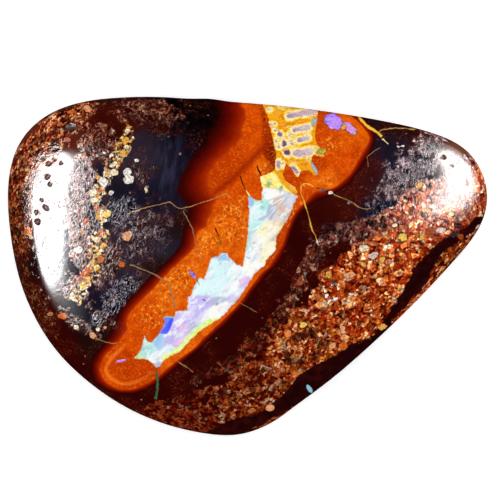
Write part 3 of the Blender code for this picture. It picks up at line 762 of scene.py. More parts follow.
def addBakeMap(mesh, places, radius, turn, faceCount, backStart):
    # The face fills most of the map, unrolled from its centre by grid radius; below it lie the
    # wall, unrolled round the rim, and the back at a smaller size
    arms = places[:, :2] - stone["domeCentre"]
    around = np.arctan2(arms[:, 1], arms[:, 0])
    rimPoints = gridRim(stone["cellsAcross"])
    edge = np.hypot(*arms[rimPoints].T)
    edgeTurn = turn[rimPoints]
    order = np.argsort(edgeTurn)
    rim = np.interp(around, edgeTurn[order], edge[order], period=2 * math.pi)
    outward = np.stack([rim * np.cos(around), rim * np.sin(around)], axis=1) * bakeMap["faceScale"]
    outward[:faceCount] *= radius[:, None]
    faceSpot = outward + bakeMap["faceMiddle"]
    backSpot = places[:, :2] * bakeMap["backScale"] + bakeMap["backMiddle"]
    wallShare = np.stack([around / (2 * math.pi) % 1, places[:, 2] / stone["girdle"]], axis=1)
    wallSpot = wallShare * bakeMap["wallSize"] + bakeMap["wallCorner"]

    layer = mesh.uv_layers.new(name="OFBake")
    corners = np.empty(len(mesh.loops), int)
    mesh.loops.foreach_get("vertex_index", corners)
    starts, totals = np.empty(len(mesh.polygons), int), np.empty(len(mesh.polygons), int)
    mesh.polygons.foreach_get("loop_start", starts)
    mesh.polygons.foreach_get("loop_total", totals)
    polygon = np.repeat(np.arange(len(starts)), totals)
    onFace = np.maximum.reduceat(corners, starts) < faceCount
    onBack = np.minimum.reduceat(corners, starts) >= backStart
    spots = np.where(onFace[polygon, None], faceSpot[corners],
                     np.where(onBack[polygon, None], backSpot[corners], wallSpot[corners]))
    # A wall cell that closes the ring takes its far corners past the end and not back to the start
    wall = ~(onFace | onBack)[polygon]
    widest = np.maximum.reduceat(np.where(wall, spots[:, 0], 0), starts)[polygon]
    spots[:, 0] += np.where(wall & (widest - spots[:, 0] > bakeMap["wrapGap"]), bakeMap["wallSize"][0], 0)
    layer.data.foreach_set("uv", spots.ravel())


# The stone's material

look = {
    "ior": 1.6,
    "bump": 0.004,              # mm of relief that the texture stands for
    "bigGrain": 0.48,           # mm across
    "smallGrain": 0.23,
    "fleckSpacing": 0.75,
    "shard": 0.7,
    "shardStreak": (48, 1.9),   # direction in degrees and stretch
    "wobble": 0.4,              # mm that the grains' sides are pushed about
    "wobbleSize": 0.45,
}
# Noises: size in mm, detail, roughness and distortion, and for streaks their direction and stretch
noises = {
    "broad": (2.4, 3, 0.5, 0.0),
    "middling": (0.75, 3, 0.5, 0.0),
    "fine": (0.16, 2, 0.5, 0.0),
    "tiny": (0.28, 2, 0.5, 0.0),
    "grainSorting": (1.1, 2, 0.5, 0.0),
    "crumbs": (0.25, 2, 0.6, 0.9, 70, 1.5),
    "paintedSheen": (0.35, 2, 0.5, 0.0, 82, 7.0),
    "fibres": (0.28, 2, 0.6, 1.2, 60, 1.6),
    "bandSpots": (0.22, 2, 0.6, 0.6),
    "bandPores": (0.33, 3, 0.5, 0.0),
    "webVeins": (0.7, 2, 0.5, 1.0, 12, 1.6),
    "flow": (0.2, 2, 0.5, 0.4, -28, 4.0),
    "veil": (0.42, 3, 0.55, 0.8, 45, 2.6),
    "polishPores": (0.3, 2, 0.6, 0.8, 75, 1.8),
    "polishWaves": (0.45, 3, 0.6, 0.0),
}
# Single colours that the textures paint over the patches and ramps
tints = {
    "white": (255, 255, 255), "redGrain": (150, 30, 6), "goldGrain": (226, 140, 26),
    "paintedLampWarmth": (255, 238, 226), "redStain": (122, 8, 0), "sunkenGrain": (32, 1, 0),
    "sandGap": (40, 3, 0), "crumbStain": (58, 6, 1), "crumbGap": (30, 4, 2), "darkCloud": (4, 1, 2),
    "redCloud": (76, 20, 12), "paintedSheen": (50, 50, 74), "fleck": (176, 140, 130), "wisp": (150, 66, 42),
    "betweenFibres": (12, 8, 20), "dimFibre": (98, 92, 114), "brightFibre": (168, 162, 184),
    "chainGap": (40, 20, 16), "clumpEdge": (36, 12, 8), "darkBand": (30, 3, 4),
    "darkBandCloud": (70, 12, 8), "bandShade": (172, 42, 0), "bandSpeck": (252, 132, 20),
    "bandGrit": (150, 34, 0), "lobeLine": (246, 122, 30), "paintedShadowLine": (150, 28, 2),
    "bandSpot": (255, 168, 52), "bandPore": (160, 44, 4), "paleWall": (255, 232, 140),
    "webVein": (206, 98, 8), "cellGrit": (120, 96, 112), "greenFlow": (150, 186, 120),
    "greyShard": (186, 184, 222), "greyVeil": (160, 164, 196), "opalGrit": (196, 180, 168),
    "lime": (214, 250, 84), "paleLime": (250, 255, 190), "blue": (70, 88, 250),
    "paleBlue": (130, 140, 255), "opalEdge": (190, 176, 140), "paleViolet": (226, 214, 255),
    "windowEdge": (120, 62, 40), "chip": (140, 188, 210), "grainOutline": (30, 14, 12),
    "grainGrit": (110, 56, 28), "pit": (46, 9, 6), "backDust": (120, 92, 76),
}
# Ramps from a number to a colour; the tones of cracks and windows are places on the last two
ramps = {
    # The palest stops of the warm grains are partly pale grains and partly glints off polished grains,
    # painted in as painted highlights
    "warmGrains": [
        (0.0, (34, 0, 0)), (0.2, (94, 9, 0)), (0.4, (146, 38, 4)), (0.57, (184, 74, 18)),
        (0.72, (226, 124, 52)), (0.85, (248, 172, 102)), (0.94, (255, 222, 170)), (1.0, (255, 248, 230)),
    ],
    "coolGrains": [
        (0.0, (14, 8, 12)), (0.2, (50, 34, 42)), (0.5, (106, 86, 90)), (0.8, (170, 144, 146)),
        (0.93, (216, 192, 190)), (1.0, (246, 228, 224)),
    ],
    "chainGrains": [
        (0.0, (20, 20, 34)), (0.25, (56, 34, 28)), (0.42, (160, 84, 28)), (0.62, (226, 146, 52)),
        (0.82, (250, 208, 116)), (1.0, (255, 250, 226)),
    ],
    "glow": [
        (0.0, (14, 0, 0)), (0.12, (38, 1, 0)), (0.3, (62, 4, 1)), (0.48, (92, 8, 1)),
        (0.66, (126, 18, 0)), (0.84, (160, 38, 1)), (1.0, (196, 62, 2)),
    ],
    "webWall": [
        (0.0, (244, 168, 30)), (0.12, (234, 136, 8)), (0.28, (250, 190, 24)), (0.5, (255, 216, 62)),
        (0.72, (255, 238, 140)), (0.88, (255, 246, 206)), (1.0, (236, 200, 180)),
    ],
    "cell": [
        (0.0, (250, 226, 206)), (0.3, (214, 186, 196)), (0.6, (152, 130, 152)), (1.0, (92, 60, 80)),
    ],
    "flow": [
        (0.3, (244, 196, 50)), (0.45, (255, 234, 104)), (0.6, (255, 250, 180)), (0.75, (228, 240, 190)),
    ],
    "windows": [
        (0.0, (212, 140, 214)), (0.45, (188, 130, 252)), (0.75, (100, 100, 236)), (1.0, (150, 180, 184)),
    ],
    "cracks": [
        (0.0, (250, 232, 150)), (0.12, (248, 188, 60)), (0.22, (196, 146, 84)), (0.5, (138, 112, 78)),
        (0.62, (58, 92, 62)), (0.74, (36, 112, 16)), (0.85, (20, 40, 12)), (1.0, (10, 4, 3)),
    ],
}


def startMaterial(name):
    material = bpy.data.materials.new(name)
    material.use_nodes = True
    material.node_tree.nodes.clear()
    return material, material.node_tree


def colourOf(picked):
    return (*linearColour(picked), 1.0)


class NodeDesk:
    # Adds nodes to one tree. A socket's value is a number, a colour or another node's output.
    def __init__(self, tree):
        self.tree = tree
        place = self.add("ShaderNodeTexCoord").outputs["Object"]
        scaled = self.add("ShaderNodeVectorMath", {0: place, 1: (1 / mm,) * 3}, operation="MULTIPLY")
        self.place = scaled.outputs[0]  # millimetres
        # The noises that several textures share; rough and tiny run about -0.25 to 0.25
        self.broad, self.middling, self.fine = (self.noise(name) for name in ("broad", "middling", "fine"))
        self.rough = self.calc("SUBTRACT", self.middling, 0.5)
        self.tiny = self.calc("SUBTRACT", self.noise("tiny"), 0.5)

    def add(self, kind, sockets=None, **settings):
        node = self.tree.nodes.new(kind)
        for name, value in settings.items():
            setattr(node, name, value)
        for name, value in (sockets or {}).items():
            if isinstance(value, bpy.types.NodeSocket):
                self.tree.links.new(value, node.inputs[name])
            else:
                node.inputs[name].default_value = value
        return node

    def number(self, name):
        return self.add("ShaderNodeAttribute", attribute_name=name).outputs["Fac"]

    def colour(self, name):
        return self.add("ShaderNodeAttribute", attribute_name=name).outputs["Color"]

    def calc(self, operation, a, b=0.0, c=0.0):
        return self.add("ShaderNodeMath", {0: a, 1: b, 2: c}, operation=operation).outputs[0]

    def times(self, *values):
        result = values[0]
        for value in values[1:]:
            result = self.calc("MULTIPLY", result, value)
        return result

    def gapTo(self, value, middle):
        # how far the value is from this middle, either way
        return self.calc("ABSOLUTE", self.calc("SUBTRACT", value, middle))

    def frayed(self, value, noise, amount):
        # the value plus this much of the noise
        return self.calc("MULTIPLY_ADD", noise, amount, value)

    def between(self, first, second, share):
        # the first value at share 0, the second at share 1
        return self.frayed(first, self.calc("SUBTRACT", second, first), share)

    def fade(self, value, low, high, start=0.0, end=1.0):
        # smooth step from low to high
        sockets = {"Value": value, "From Min": low, "From Max": high, "To Min": start, "To Max": end}
        return self.add("ShaderNodeMapRange", sockets, interpolation_type="SMOOTHSTEP").outputs["Result"]

    def mix(self, share, under, over, how="MIX"):
        sockets = {0: share, 6: under, 7: over}
        node = self.add("ShaderNodeMix", sockets, data_type="RGBA", blend_type=how)
        return node.outputs[2]

    def shaded(self, colour, light):
        return self.mix(1.0, colour, light, "MULTIPLY")

    def paint(self, share, under, tint):
        return self.mix(share, under, colourOf(tints[tint]))

    def mixTints(self, share, first, second):
        return self.mix(share, colourOf(tints[first]), colourOf(tints[second]))

    def ramp(self, value, name):
        node = self.add("ShaderNodeValToRGB", {"Fac": value})
        elements = node.color_ramp.elements
        while len(elements) < len(ramps[name]):
            elements.new(0.5)
        for element, (position, picked) in zip(elements, ramps[name]):
            element.position = position
            element.color = colourOf(picked)
        return node.outputs["Color"]

    def wobbled(self):
        # the place, pushed about by noise
        sockets = {"Vector": self.place, "Scale": 1 / look["wobbleSize"], "Detail": 1.0}
        wobble = self.add("ShaderNodeTexNoise", sockets).outputs["Color"]
        sockets = {0: wobble, 1: (0.5,) * 3}
        centred = self.add("ShaderNodeVectorMath", sockets, operation="SUBTRACT").outputs[0]
        sockets = {0: centred, 1: (look["wobble"],) * 3}
        push = self.add("ShaderNodeVectorMath", sockets, operation="MULTIPLY").outputs[0]
        return self.add("ShaderNodeVectorMath", {0: self.place, 1: push}, operation="ADD").outputs[0]

    def stretched(self, turn, lengthwise):
        # the place, turned back about z and then squeezed along x, for streaks that run at this turn
        sockets = {"Vector": self.place, "Rotation": (0, 0, math.radians(turn)), "Scale": (lengthwise, 1, 1)}
        return self.add("ShaderNodeMapping", sockets, vector_type="TEXTURE").outputs[0]

    def noise(self, name):
        size, detail, roughness, distortion, *streak = noises[name]
        sockets = {"Vector": self.stretched(*streak) if streak else self.place, "Scale": 1 / size,
                   "Detail": detail, "Roughness": roughness, "Distortion": distortion}
        return self.add("ShaderNodeTexNoise", sockets).outputs["Fac"]

    def grains(self, size, place):
        # Voronoi grains: two random numbers for each grain, distance to its middle and to its edge
        sockets = {"Vector": place, "Scale": 1 / size}
        cells = self.add("ShaderNodeTexVoronoi", sockets)
        edges = self.add("ShaderNodeTexVoronoi", sockets, feature="DISTANCE_TO_EDGE")
        split = self.add("ShaderNodeSeparateColor", {0: cells.outputs["Color"]})
        return split.outputs[0], split.outputs[1], cells.outputs["Distance"], edges.outputs["Distance"]


def sandTexture(desk, wobbly, smallPick, smallHue, smallGap):
    # Grains of two sizes in a warm and a cool set of colours; some have sunk into the ironstone
    bigPick, _, _, bigGap = desk.grains(look["bigGrain"], wobbly)
    whichSize = desk.fade(desk.noise("grainSorting"), 0.47, 0.52)
    pick = desk.between(bigPick, smallPick, whichSize)
    gap = desk.between(bigGap, smallGap, whichSize)
    sand = desk.ramp(desk.frayed(pick, desk.tiny, 0.6), "warmGrains")
    sand = desk.paint(desk.fade(smallHue, 0.62, 0.8, 0.0, 0.55), sand, "redGrain")
    sand = desk.paint(desk.fade(smallHue, 0.2, 0.05, 0.0, 0.4), sand, "goldGrain")
    sand = desk.mix(desk.times(desk.number("grainCool"), 0.8), sand, desk.ramp(pick, "coolGrains"))
    light = desk.number("grainLight")
    fineShade = desk.fade(desk.fine, 0.3, 0.7, 0.6, 1.35)
    sand = desk.shaded(sand, desk.times(light, fineShade, desk.fade(desk.middling, 0.36, 0.52, 0.5, 1.15)))
    # The lamps' warmth painted into the sand's colour: painted light
    sand = desk.shaded(sand, colourOf(tints["paintedLampWarmth"]))
    sand = desk.paint(desk.fade(light, 0.75, 0.3, 0.0, 0.55), sand, "redStain")
    sunken = desk.fade(desk.frayed(smallPick, desk.rough, 1.4), 0.6, 0.42)
    sand = desk.paint(desk.times(desk.fade(light, 0.9, 0.4), sunken, 0.85), sand, "sunkenGrain")
    return desk.paint(desk.fade(gap, 0.0, 0.1, 0.65, 0.0), sand, "sandGap")


def crumbTexture(desk, smallPick, smallGap):
    # Crumbs, finer than the grains and without sides, fill the other fields
    crumb = desk.fade(desk.noise("crumbs"), 0.4, 0.62)
    pick = desk.frayed(desk.times(crumb, 0.62), smallPick, 0.38)
    crumbs = desk.mix(desk.number("grainCool"), desk.ramp(pick, "warmGrains"), desk.ramp(pick, "coolGrains"))
    light = desk.number("grainLight")
    crumbs = desk.shaded(crumbs, desk.times(light, desk.fade(desk.middling, 0.38, 0.6, 0.3, 1.3)))
    crumbs = desk.paint(desk.fade(light, 0.75, 0.3, 0.0, 0.55), crumbs, "crumbStain")
    return desk.paint(desk.fade(smallGap, 0.0, 0.12, 0.7, 0.0), crumbs, "crumbGap")


def ironstone(desk, wobbly):
    # The soft patches, with darker and redder clouds, a painted blue sheen in streaks, which is a painted
    # reflection, and a few pale flecks
    colour = desk.paint(desk.fade(desk.broad, 0.3, 0.7, 0.3, 0.0), desk.colour("ground"), "darkCloud")
    colour = desk.paint(desk.fade(desk.middling, 0.5, 0.8, 0.0, 0.22), colour, "redCloud")
    paintedSheen = desk.times(desk.fade(desk.noise("paintedSheen"), 0.42, 0.66), desk.number("paintedSheen"), 0.75)
    colour = desk.paint(paintedSheen, colour, "paintedSheen")
    pick, hue, distance, _ = desk.grains(look["fleckSpacing"], wobbly)
    past = desk.calc("SUBTRACT", distance, desk.fade(hue, 0.0, 1.0, 0.05, 0.15))
    fleck = desk.times(desk.fade(past, -0.02, 0.02, 1.0, 0.0), desk.fade(pick, 0.55, 0.6), 0.5)
    return desk.paint(fleck, colour, "fleck")


def addFibres(desk, colour):
    # Blue-grey fibres and red wisps: the thin lines where a twisted noise passes its middle value
    twisted = desk.noise("fibres")
    thread = desk.fade(desk.gapTo(twisted, 0.5), 0.0, 0.045, 1.0, 0.0)
    here = desk.fade(desk.frayed(desk.number("fibres"), desk.rough, 1.2), 0.25, 0.8)
    wisps = desk.times(thread, desk.fade(desk.broad, 0.46, 0.6), desk.fade(desk.fine, 0.4, 0.6),
                       desk.fade(desk.number("paintedSheen"), 0.05, 0.25, 1.0, 0.0), 0.4)
    colour = desk.paint(wisps, colour, "wisp")
    colour = desk.paint(desk.times(desk.fade(twisted, 0.51, 0.6), here, 0.8), colour, "betweenFibres")
    threads = desk.times(thread, here, desk.fade(desk.fine, 0.35, 0.6, 0.2, 1.0))
    threadColour = desk.mixTints(desk.fade(desk.middling, 0.4, 0.6), "dimFibre", "brightFibre")
    return desk.mix(desk.times(threads, 0.8), colour, threadColour), threads


def addChain(desk, colour, smallPick, smallGap):
    # The chain of gold and white grains
    here = desk.fade(desk.frayed(desk.number("chain"), desk.rough, 1.8), 0.5, 0.6)
    chain = desk.ramp(desk.frayed(smallPick, desk.tiny, 0.5), "chainGrains")
    chain = desk.paint(desk.fade(smallGap, 0.0, 0.09, 0.8, 0.0), chain, "chainGap")
    return desk.mix(here, colour, chain), here


def addSand(desk, colour, sand, crumbs):
    # The fringe, the sand with a dark-edged clump of crumbs in it, and the smooth dark band across
    fringe = desk.fade(desk.frayed(desk.number("fringe"), desk.rough, 1.4), 0.45, 0.6)
    mixed = desk.mix(desk.fade(desk.middling, 0.45, 0.55), crumbs, sand)
    colour = desk.mix(desk.times(fringe, 0.9), colour, mixed)
    here = desk.fade(desk.frayed(desk.number("sandDepth"), desk.rough, 2.2), -0.05, 0.1)
    mixed = desk.mix(desk.fade(desk.middling, 0.52, 0.62, 0.0, 0.4), sand, crumbs)
    colour = desk.mix(here, colour, mixed)
    clump = desk.frayed(desk.number("clump"), desk.rough, 1.0)
    colour = desk.mix(desk.fade(clump, 0.1, 0.3, 0.0, 0.8), colour, crumbs)
    colour = desk.paint(desk.fade(desk.gapTo(clump, 0.1), 0.04, 0.3, 0.75, 0.0), colour, "clumpEdge")
    inDark = desk.fade(desk.frayed(desk.number("darkDepth"), desk.rough, 0.8), -0.04, 0.06)
    dark = desk.mixTints(desk.fade(desk.middling, 0.4, 0.75, 0.0, 0.5), "darkBand", "darkBandCloud")
    return desk.mix(inDark, colour, dark), here


def bandTexture(desk):
    # The band's own tints, fine grain, the bright line round its lower lobe, a painted shadow line across
    # it, and its spots
    band = desk.paint(desk.fade(desk.middling, 0.35, 0.7, 0.5, 0.0), desk.colour("band"), "bandShade")
    band = desk.paint(desk.fade(desk.fine, 0.5, 0.7, 0.0, 0.45), band, "bandSpeck")
    band = desk.paint(desk.fade(desk.fine, 0.42, 0.28, 0.0, 0.5), band, "bandGrit")
    depth = desk.number("bandDepth")
    contour = desk.times(desk.fade(depth, 0.2, 0.4), desk.fade(depth, 0.44, 0.66, 1.0, 0.0))
    band = desk.paint(desk.times(contour, desk.fade(desk.number("lobe"), 0.3, 0.7), 0.8), band, "lobeLine")
    # A darker line painted across the band: painted shade
    band = desk.paint(desk.times(desk.number("paintedShadowLine"), 0.8), band, "paintedShadowLine")
    mottled = desk.fade(desk.frayed(desk.number("mottle"), desk.rough, 1.0), 0.2, 0.7)
    spots = desk.times(desk.fade(desk.noise("bandSpots"), 0.52, 0.62), mottled, 0.85)
    band = desk.paint(spots, band, "bandSpot")
    pores = desk.times(desk.fade(desk.noise("bandPores"), 0.57, 0.66), mottled, 0.75)
    return desk.paint(pores, band, "bandPore")


def addBand(desk, colour):
    # The glow runs from black through red to orange, and the band lies inside it
    ember = desk.frayed(desk.number("ember"), desk.rough, 0.2)
    colour = desk.mix(desk.fade(ember, 0.0, 0.25), colour, desk.ramp(ember, "glow"))
    return desk.mix(desk.fade(ember, 0.88, 1.0), colour, bandTexture(desk))


def addWeb(desk, colour):
    # Yellow walls with orange middles round cells of milky violet, and the pale flow below them
    cell = desk.frayed(desk.frayed(desk.number("cellDepth"), desk.rough, 0.3), desk.tiny, 0.24)
    wall = desk.ramp(desk.fade(cell, -0.34, 0.06), "webWall")
    wall = desk.paint(desk.fade(desk.middling, 0.52, 0.64, 0.0, 0.6), wall, "paleWall")
    vein = desk.fade(desk.gapTo(desk.noise("webVeins"), 0.5), 0.0, 0.025, 0.85, 0.0)
    wall = desk.paint(vein, wall, "webVein")
    core = desk.ramp(desk.frayed(desk.number("cellDarkness"), desk.tiny, 0.5), "cell")
    core = desk.paint(desk.fade(desk.fine, 0.35, 0.6, 0.35, 0.0), core, "cellGrit")
    web = desk.mix(desk.fade(cell, 0.02, 0.12), wall, core)
    flow = desk.ramp(desk.noise("flow"), "flow")
    flow = desk.paint(desk.fade(desk.middling, 0.56, 0.66), flow, "greenFlow")
    flowHere = desk.fade(desk.frayed(desk.number("flowDepth"), desk.tiny, 0.2), -0.02, 0.06)
    webHere = desk.fade(desk.frayed(desk.number("webDepth"), desk.tiny, 0.2), -0.02, 0.05)
    return desk.mix(webHere, colour, desk.mix(flowHere, web, flow))


def addOpal(desk, colour):
    # The seam: soft tints cut into shards, white veils along it, a lime lower edge, a blue shard
    shardPick, shardHue, _, _ = desk.grains(look["shard"], desk.stretched(*look["shardStreak"]))
    veil = desk.noise("veil")
    opal = desk.paint(desk.fade(shardPick, 0.5, 0.95, 0.0, 0.45), desk.colour("opal"), "white")
    opal = desk.paint(desk.fade(shardHue, 0.8, 0.95, 0.0, 0.25), opal, "greyShard")
    opal = desk.paint(desk.fade(veil, 0.34, 0.46, 0.3, 0.0), opal, "greyVeil")
    opal = desk.paint(desk.fade(veil, 0.52, 0.66, 0.0, 0.85), opal, "white")
    opal = desk.paint(desk.fade(desk.fine, 0.4, 0.3, 0.0, 0.3), opal, "opalGrit")
    limeHere = desk.fade(desk.frayed(desk.number("lime"), desk.tiny, 1.2), 0.35, 0.6)
    opal = desk.mix(limeHere, opal, desk.mixTints(desk.fade(desk.fine, 0.4, 0.6), "lime", "paleLime"))
    blueHere = desk.fade(desk.frayed(desk.number("blueDepth"), desk.tiny, 0.2), -0.03, 0.05)
    opal = desk.mix(blueHere, opal, desk.mixTints(desk.fade(veil, 0.4, 0.65), "blue", "paleBlue"))
    edge = desk.frayed(desk.number("opalDepth"), desk.tiny, 0.25)
    opal = desk.paint(desk.fade(edge, 0.0, 0.16, 0.5, 0.0), opal, "opalEdge")
    return desk.mix(desk.fade(edge, -0.02, 0.05), colour, opal)


def addWindows(desk, colour):
    # Windows of violet opal, and the pale chip at the rim
    window = desk.frayed(desk.frayed(desk.number("window"), desk.rough, 2.0), desk.tiny, 1.2)
    tone = desk.frayed(desk.frayed(desk.number("windowTone"), desk.rough, 1.2), desk.tiny, 0.5)
    violet = desk.ramp(tone, "windows")
    violet = desk.paint(desk.fade(desk.fine, 0.45, 0.7, 0.0, 0.5), violet, "paleViolet")
    colour = desk.paint(desk.fade(window, -0.5, 0.0, 0.0, 0.5), colour, "windowEdge")
    colour = desk.mix(desk.fade(window, 0.0, 0.25), colour, violet)
    chip = desk.fade(desk.frayed(desk.number("chip"), desk.rough, 1.5), 0.0, 0.3)
    return desk.paint(chip, colour, "chip")


def addSingleGrains(desk, colour):
    # Each single grain has a dark outline
    single = desk.frayed(desk.frayed(desk.number("singleGrain"), desk.rough, 1.8), desk.tiny, 1.4)
    colour = desk.paint(desk.fade(single, -0.8, -0.15, 0.0, 0.55), colour, "grainOutline")
    grain = desk.paint(desk.fade(desk.fine, 0.35, 0.6, 0.6, 0.0), desk.colour("grainColour"), "grainGrit")
    return desk.mix(desk.fade(single, -0.1, 0.15), colour, grain)


def addCracks(desk, colour):
    side = desk.frayed(desk.frayed(desk.number("crackSide"), desk.rough, 0.16), desk.tiny, 0.14)
    halfWidth = desk.times(desk.number("crackHalf"), desk.fade(desk.middling, 0.3, 0.7, 0.3, 1.0))
    past = desk.calc("SUBTRACT", desk.calc("ABSOLUTE", side), halfWidth)
    inCrack = desk.times(desk.fade(past, -0.03, 0.03, 1.0, 0.0),
                         desk.fade(desk.number("crackNear"), 0.0, 0.3),
                         desk.fade(desk.number("crackPast"), -0.06, 0.03, 1.0, 0.0))
    return desk.mix(inCrack, colour, desk.ramp(desk.number("crackTone"), "cracks")), inCrack


def stoneMaterial():
    material, tree = startMaterial("polishedBoulderOpal")
    desk = NodeDesk(tree)
    wobbly = desk.wobbled()
    smallPick, smallHue, _, smallGap = desk.grains(look["smallGrain"], wobbly)
    sand = sandTexture(desk, wobbly, smallPick, smallHue, smallGap)
    crumbs = crumbTexture(desk, smallPick, smallGap)

    # The ironstone, then the fields of crumbs, which thin out at their edges
    colour = ironstone(desk, wobbly)
    field = desk.number("grainField")
    fieldHere = desk.times(desk.fade(desk.frayed(field, desk.rough, 1.6), 0.3, 0.55),
                           desk.fade(desk.frayed(field, smallHue, 0.8), 0.35, 0.7))
    colour = desk.mix(fieldHere, colour, crumbs)

    # All that lies in and over the ironstone, in order
    colour, threads = addFibres(desk, colour)
    colour, chainHere = addChain(desk, colour, smallPick, smallGap)
    colour, sandHere = addSand(desk, colour, sand, crumbs)
    colour = addBand(desk, colour)
    colour = addWeb(desk, colour)
    colour = addOpal(desk, colour)
    colour = addWindows(desk, colour)
    colour = addSingleGrains(desk, colour)
    colour, inCrack = addCracks(desk, colour)
    inPit = desk.fade(desk.number("pit"), 0.0, 0.05)
    colour = desk.paint(inPit, colour, "pit")

    # The sawn back is dusty and duller, and the polish is duller on grains, in pores and in pits
    sawn = desk.fade(desk.number("sawn"), 0.93, 0.99)
    colour = desk.paint(desk.times(sawn, 0.25), colour, "backDust")
    grainShare = desk.calc("MAXIMUM", sandHere, desk.calc("MAXIMUM", chainHere, fieldHere))
    pored = desk.number("pored")
    pores = desk.times(desk.fade(desk.noise("polishPores"), 0.62, 0.7), desk.fade(pored, 0.3, 0.6))
    roughness = desk.frayed(desk.fade(desk.fine, 0.3, 0.7, 0.04, 0.07), grainShare, 0.03)
    roughness = desk.frayed(roughness, pores, 0.3)
    roughness = desk.calc("MAXIMUM", roughness, desk.times(desk.calc("MAXIMUM", sawn, inPit), 0.5))

    # Relief: grains and fibres stand a little proud, the polish waves where it has pores, and
    # pores and cracks are cut in
    relief = desk.times(desk.fade(smallGap, 0.0, 0.2), grainShare)
    relief = desk.frayed(relief, threads, 0.8)
    relief = desk.frayed(relief, desk.fine, 0.25)
    relief = desk.frayed(relief, pores, -2.5)
    relief = desk.frayed(relief, desk.times(desk.noise("polishWaves"), pored), 2.5)
    relief = desk.calc("SUBTRACT", relief, inCrack)
    bump = desk.add("ShaderNodeBump", {"Strength": 1.0, "Distance": look["bump"] * mm, "Height": relief})

    shader = desk.add("ShaderNodeBsdfPrincipled", {
        "Base Color": colour, "Roughness": roughness, "Metallic": 0.0, "IOR": look["ior"],
        "Normal": bump.outputs["Normal"],
    })
    desk.add("ShaderNodeOutputMaterial", {"Surface": shader.outputs["BSDF"]})
    return material


def makeStone():
    places, faces, radius, turn, faceCount, backStart = stonePlaces()
    places = fitBox(places)
    mesh = bpy.data.meshes.new("boulder_opal_stone")
    mesh.from_pydata((places * mm).tolist(), [], faces)
    mesh.shade_smooth()
    paintPattern(mesh, places)
    addBakeMap(mesh, places, radius, turn, faceCount, backStart)
    piece = bpy.data.objects.new("boulder_opal_stone", mesh)
    bpy.context.collection.objects.link(piece)
    mesh.materials.append(stoneMaterial())
    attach(piece, "root")
    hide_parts("boulder_opal")
    print("stone:", len(places), "points,", len(faces), "faces")


# Floor, lights and camera

studio = {
    "floorColour": (250, 250, 250),
    "floorSide": 6000.0,
    "floorDrop": 0.02,          # mm below the stone's back
    "floorGlow": 0.4,           # a lit table, so that the stone hardly shades it
    "worldStrength": 1.0,
    "keyPower": 0.12,           # watts
    "keySize": 500.0,
    "keyPlace": (-120.0, 160.0, 450.0),
    "keyTilt": (-20, -15),      # degrees about x and y
    "softboxRadius": 900.0,
    "softboxSteps": 80,
    "softboxReach": (2.0, 2.4),  # half sizes that the mesh covers, to hold the soft tails too
    "softboxAngles": (1, 130),  # degrees from straight up that it stays between
    "cameraHeight": 1000.0,
    "cameraAim": (0.2, 1.27),
    "cameraClip": (100.0, 10000.0),
    "sensorWidth": 36.0,
    "viewWidth": 39.67,
}
# Softboxes: the middle and half size as azimuth and angle from straight up, in degrees, how far the
# angle leans with azimuth, and how much narrower the end of lower azimuth is. Brightness is given at
# shares of the way from the middle to the edge, for the half nearer straight up and the outer half.
softboxes = {
    "leftSoftbox": {
        "middle": (172, 43.5), "half": (31, 12.8), "lean": 0.2, "taper": 0.3,
        "inner": [(0, 26), (0.88, 26), (0.97, 9), (1.07, 3), (1.2, 0.8), (1.35, 0)],
        "outer": [(0, 26), (0.93, 26), (1.03, 4), (1.12, 0.8), (1.25, 0)],
    },
    "rightSoftbox": {
        "middle": (25, 62), "half": (36, 24), "lean": 0.45, "taper": 0.15,
        "inner": [(0, 24), (0.78, 22), (0.88, 6), (0.98, 2), (1.08, 0.5), (1.18, 0)],
        "outer": [(0, 24), (0.45, 20), (0.65, 8), (0.9, 3), (1.15, 0.8), (1.3, 0)],
    },
}


def makeFloor():
    reach = studio["floorSide"] / 2 * mm
    mesh = bpy.data.meshes.new("floor")
    corners = [(-reach, -reach), (reach, -reach), (reach, reach), (-reach, reach)]
    mesh.from_pydata([(x, y, -studio["floorDrop"] * mm) for x, y in corners], [], [(0, 1, 2, 3)])
    material, tree = startMaterial("paleFloor")
    cloth = tree.nodes.new("ShaderNodeBsdfDiffuse")
    cloth.inputs["Color"].default_value = colourOf(studio["floorColour"])
    glow = tree.nodes.new("ShaderNodeEmission")
    glow.inputs["Strength"].default_value = studio["floorGlow"]
    both = tree.nodes.new("ShaderNodeAddShader")
    tree.links.new(cloth.outputs[0], both.inputs[0])
    tree.links.new(glow.outputs[0], both.inputs[1])
    output = tree.nodes.new("ShaderNodeOutputMaterial")
    tree.links.new(both.outputs[0], output.inputs["Surface"])
    mesh.materials.append(material)
    floor = bpy.data.objects.new("floor", mesh)
    floor.visible_glossy = False  # the rim's reflections stay dark
    bpy.context.collection.objects.link(floor)


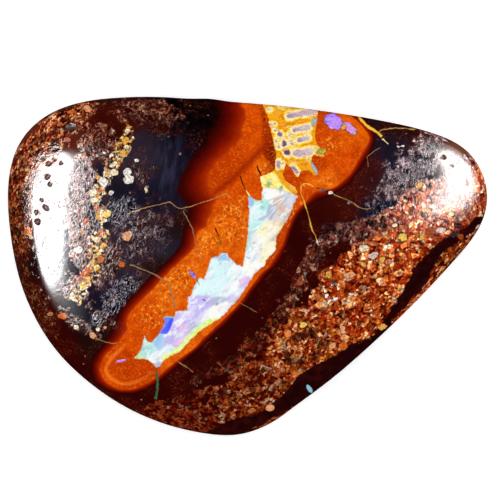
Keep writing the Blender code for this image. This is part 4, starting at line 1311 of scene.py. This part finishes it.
def makeSoftbox(name, middle, half, lean, taper, inner, outer):
    # Part of a sphere round the stone: place = radius * (sin z cos a, sin z sin a, cos z) for
    # azimuth a and angle from straight up z. Its light is kept at its points, by a share of the way
    # to the edge of (across ** 3 + up ** 3) ** (1 / 3), between an oval and a box. The inner
    # half's light turns into the outer's from up -0.2 to 0.4.
    steps = studio["softboxSteps"]
    even = np.linspace(-1, 1, steps + 1)
    azimuths = middle[0] + half[0] * studio["softboxReach"][0] * even
    angles = (middle[1] + half[1] * studio["softboxReach"][1] * even).clip(*studio["softboxAngles"])
    a, z = np.meshgrid(azimuths, angles, indexing="ij")
    across = (a - middle[0]) / half[0]
    up = (z - middle[1] - lean * (a - middle[0])) / (half[1] * (1 + taper * across.clip(-1, 0)))
    away = (np.abs(across) ** 3 + np.abs(up) ** 3) ** (1 / 3)
    innerLight = np.interp(away, *zip(*inner))
    outerLight = np.interp(away, *zip(*outer))
    light = innerLight + (outerLight - innerLight) * ((up + 0.2) / 0.6).clip(0, 1)

    a, z = np.radians(a), np.radians(z)
    outward = np.stack([np.sin(z) * np.cos(a), np.sin(z) * np.sin(a), np.cos(z)], axis=-1)
    places = studio["softboxRadius"] * mm * outward.reshape(-1, 3)
    mesh = bpy.data.meshes.new(name)
    mesh.from_pydata(places.tolist(), [], gridFaces(steps, 0, True).tolist())
    keepNumbers(mesh, "light", light.ravel())

    material, tree = startMaterial(name)
    lightHere = tree.nodes.new("ShaderNodeAttribute")
    lightHere.attribute_name = "light"
    glow = tree.nodes.new("ShaderNodeEmission")
    tree.links.new(lightHere.outputs["Fac"], glow.inputs["Strength"])
    output = tree.nodes.new("ShaderNodeOutputMaterial")
    tree.links.new(glow.outputs[0], output.inputs["Surface"])
    mesh.materials.append(material)

    box = bpy.data.objects.new(name, mesh)
    bpy.context.collection.objects.link(box)
    box.visible_camera = False
    box.visible_diffuse = False
    box.visible_shadow = False


def makeLights():
    world = bpy.data.worlds.new("softSky")
    bpy.context.scene.world = world
    world.use_nodes = True
    background = world.node_tree.nodes["Background"]
    background.inputs["Color"].default_value = (1, 1, 1, 1)
    background.inputs["Strength"].default_value = studio["worldStrength"]
    world.cycles_visibility.glossy = False

    key = bpy.data.lights.new("key", "AREA")
    key.shape = "DISK"
    key.size = studio["keySize"] * mm
    key.energy = studio["keyPower"]
    lamp = bpy.data.objects.new("key", key)
    lamp.location = np.array(studio["keyPlace"]) * mm
    lamp.rotation_euler = (*np.radians(studio["keyTilt"]), 0)
    lamp.visible_glossy = False
    lamp.visible_camera = False
    bpy.context.collection.objects.link(lamp)
    for name, settings in softboxes.items():
        makeSoftbox(name, **settings)


def makeCamera():
    # Straight down from far away, so that the view is all but parallel
    data = bpy.data.cameras.new("camera")
    data.sensor_width = studio["sensorWidth"]
    data.lens = data.sensor_width * (studio["cameraHeight"] - stone["girdle"]) / studio["viewWidth"]
    camera = bpy.data.objects.new("camera", data)
    x, y = studio["cameraAim"]
    camera.location = (x * mm, y * mm, studio["cameraHeight"] * mm)
    data.clip_start, data.clip_end = (distance * mm for distance in studio["cameraClip"])
    bpy.context.collection.objects.link(camera)
    bpy.context.scene.camera = camera


bpy.context.scene.view_settings.view_transform = "Standard"
makeCamera()
print("camera is set")
makeStone()
makeFloor()
makeLights()
print("floor and lights are set")
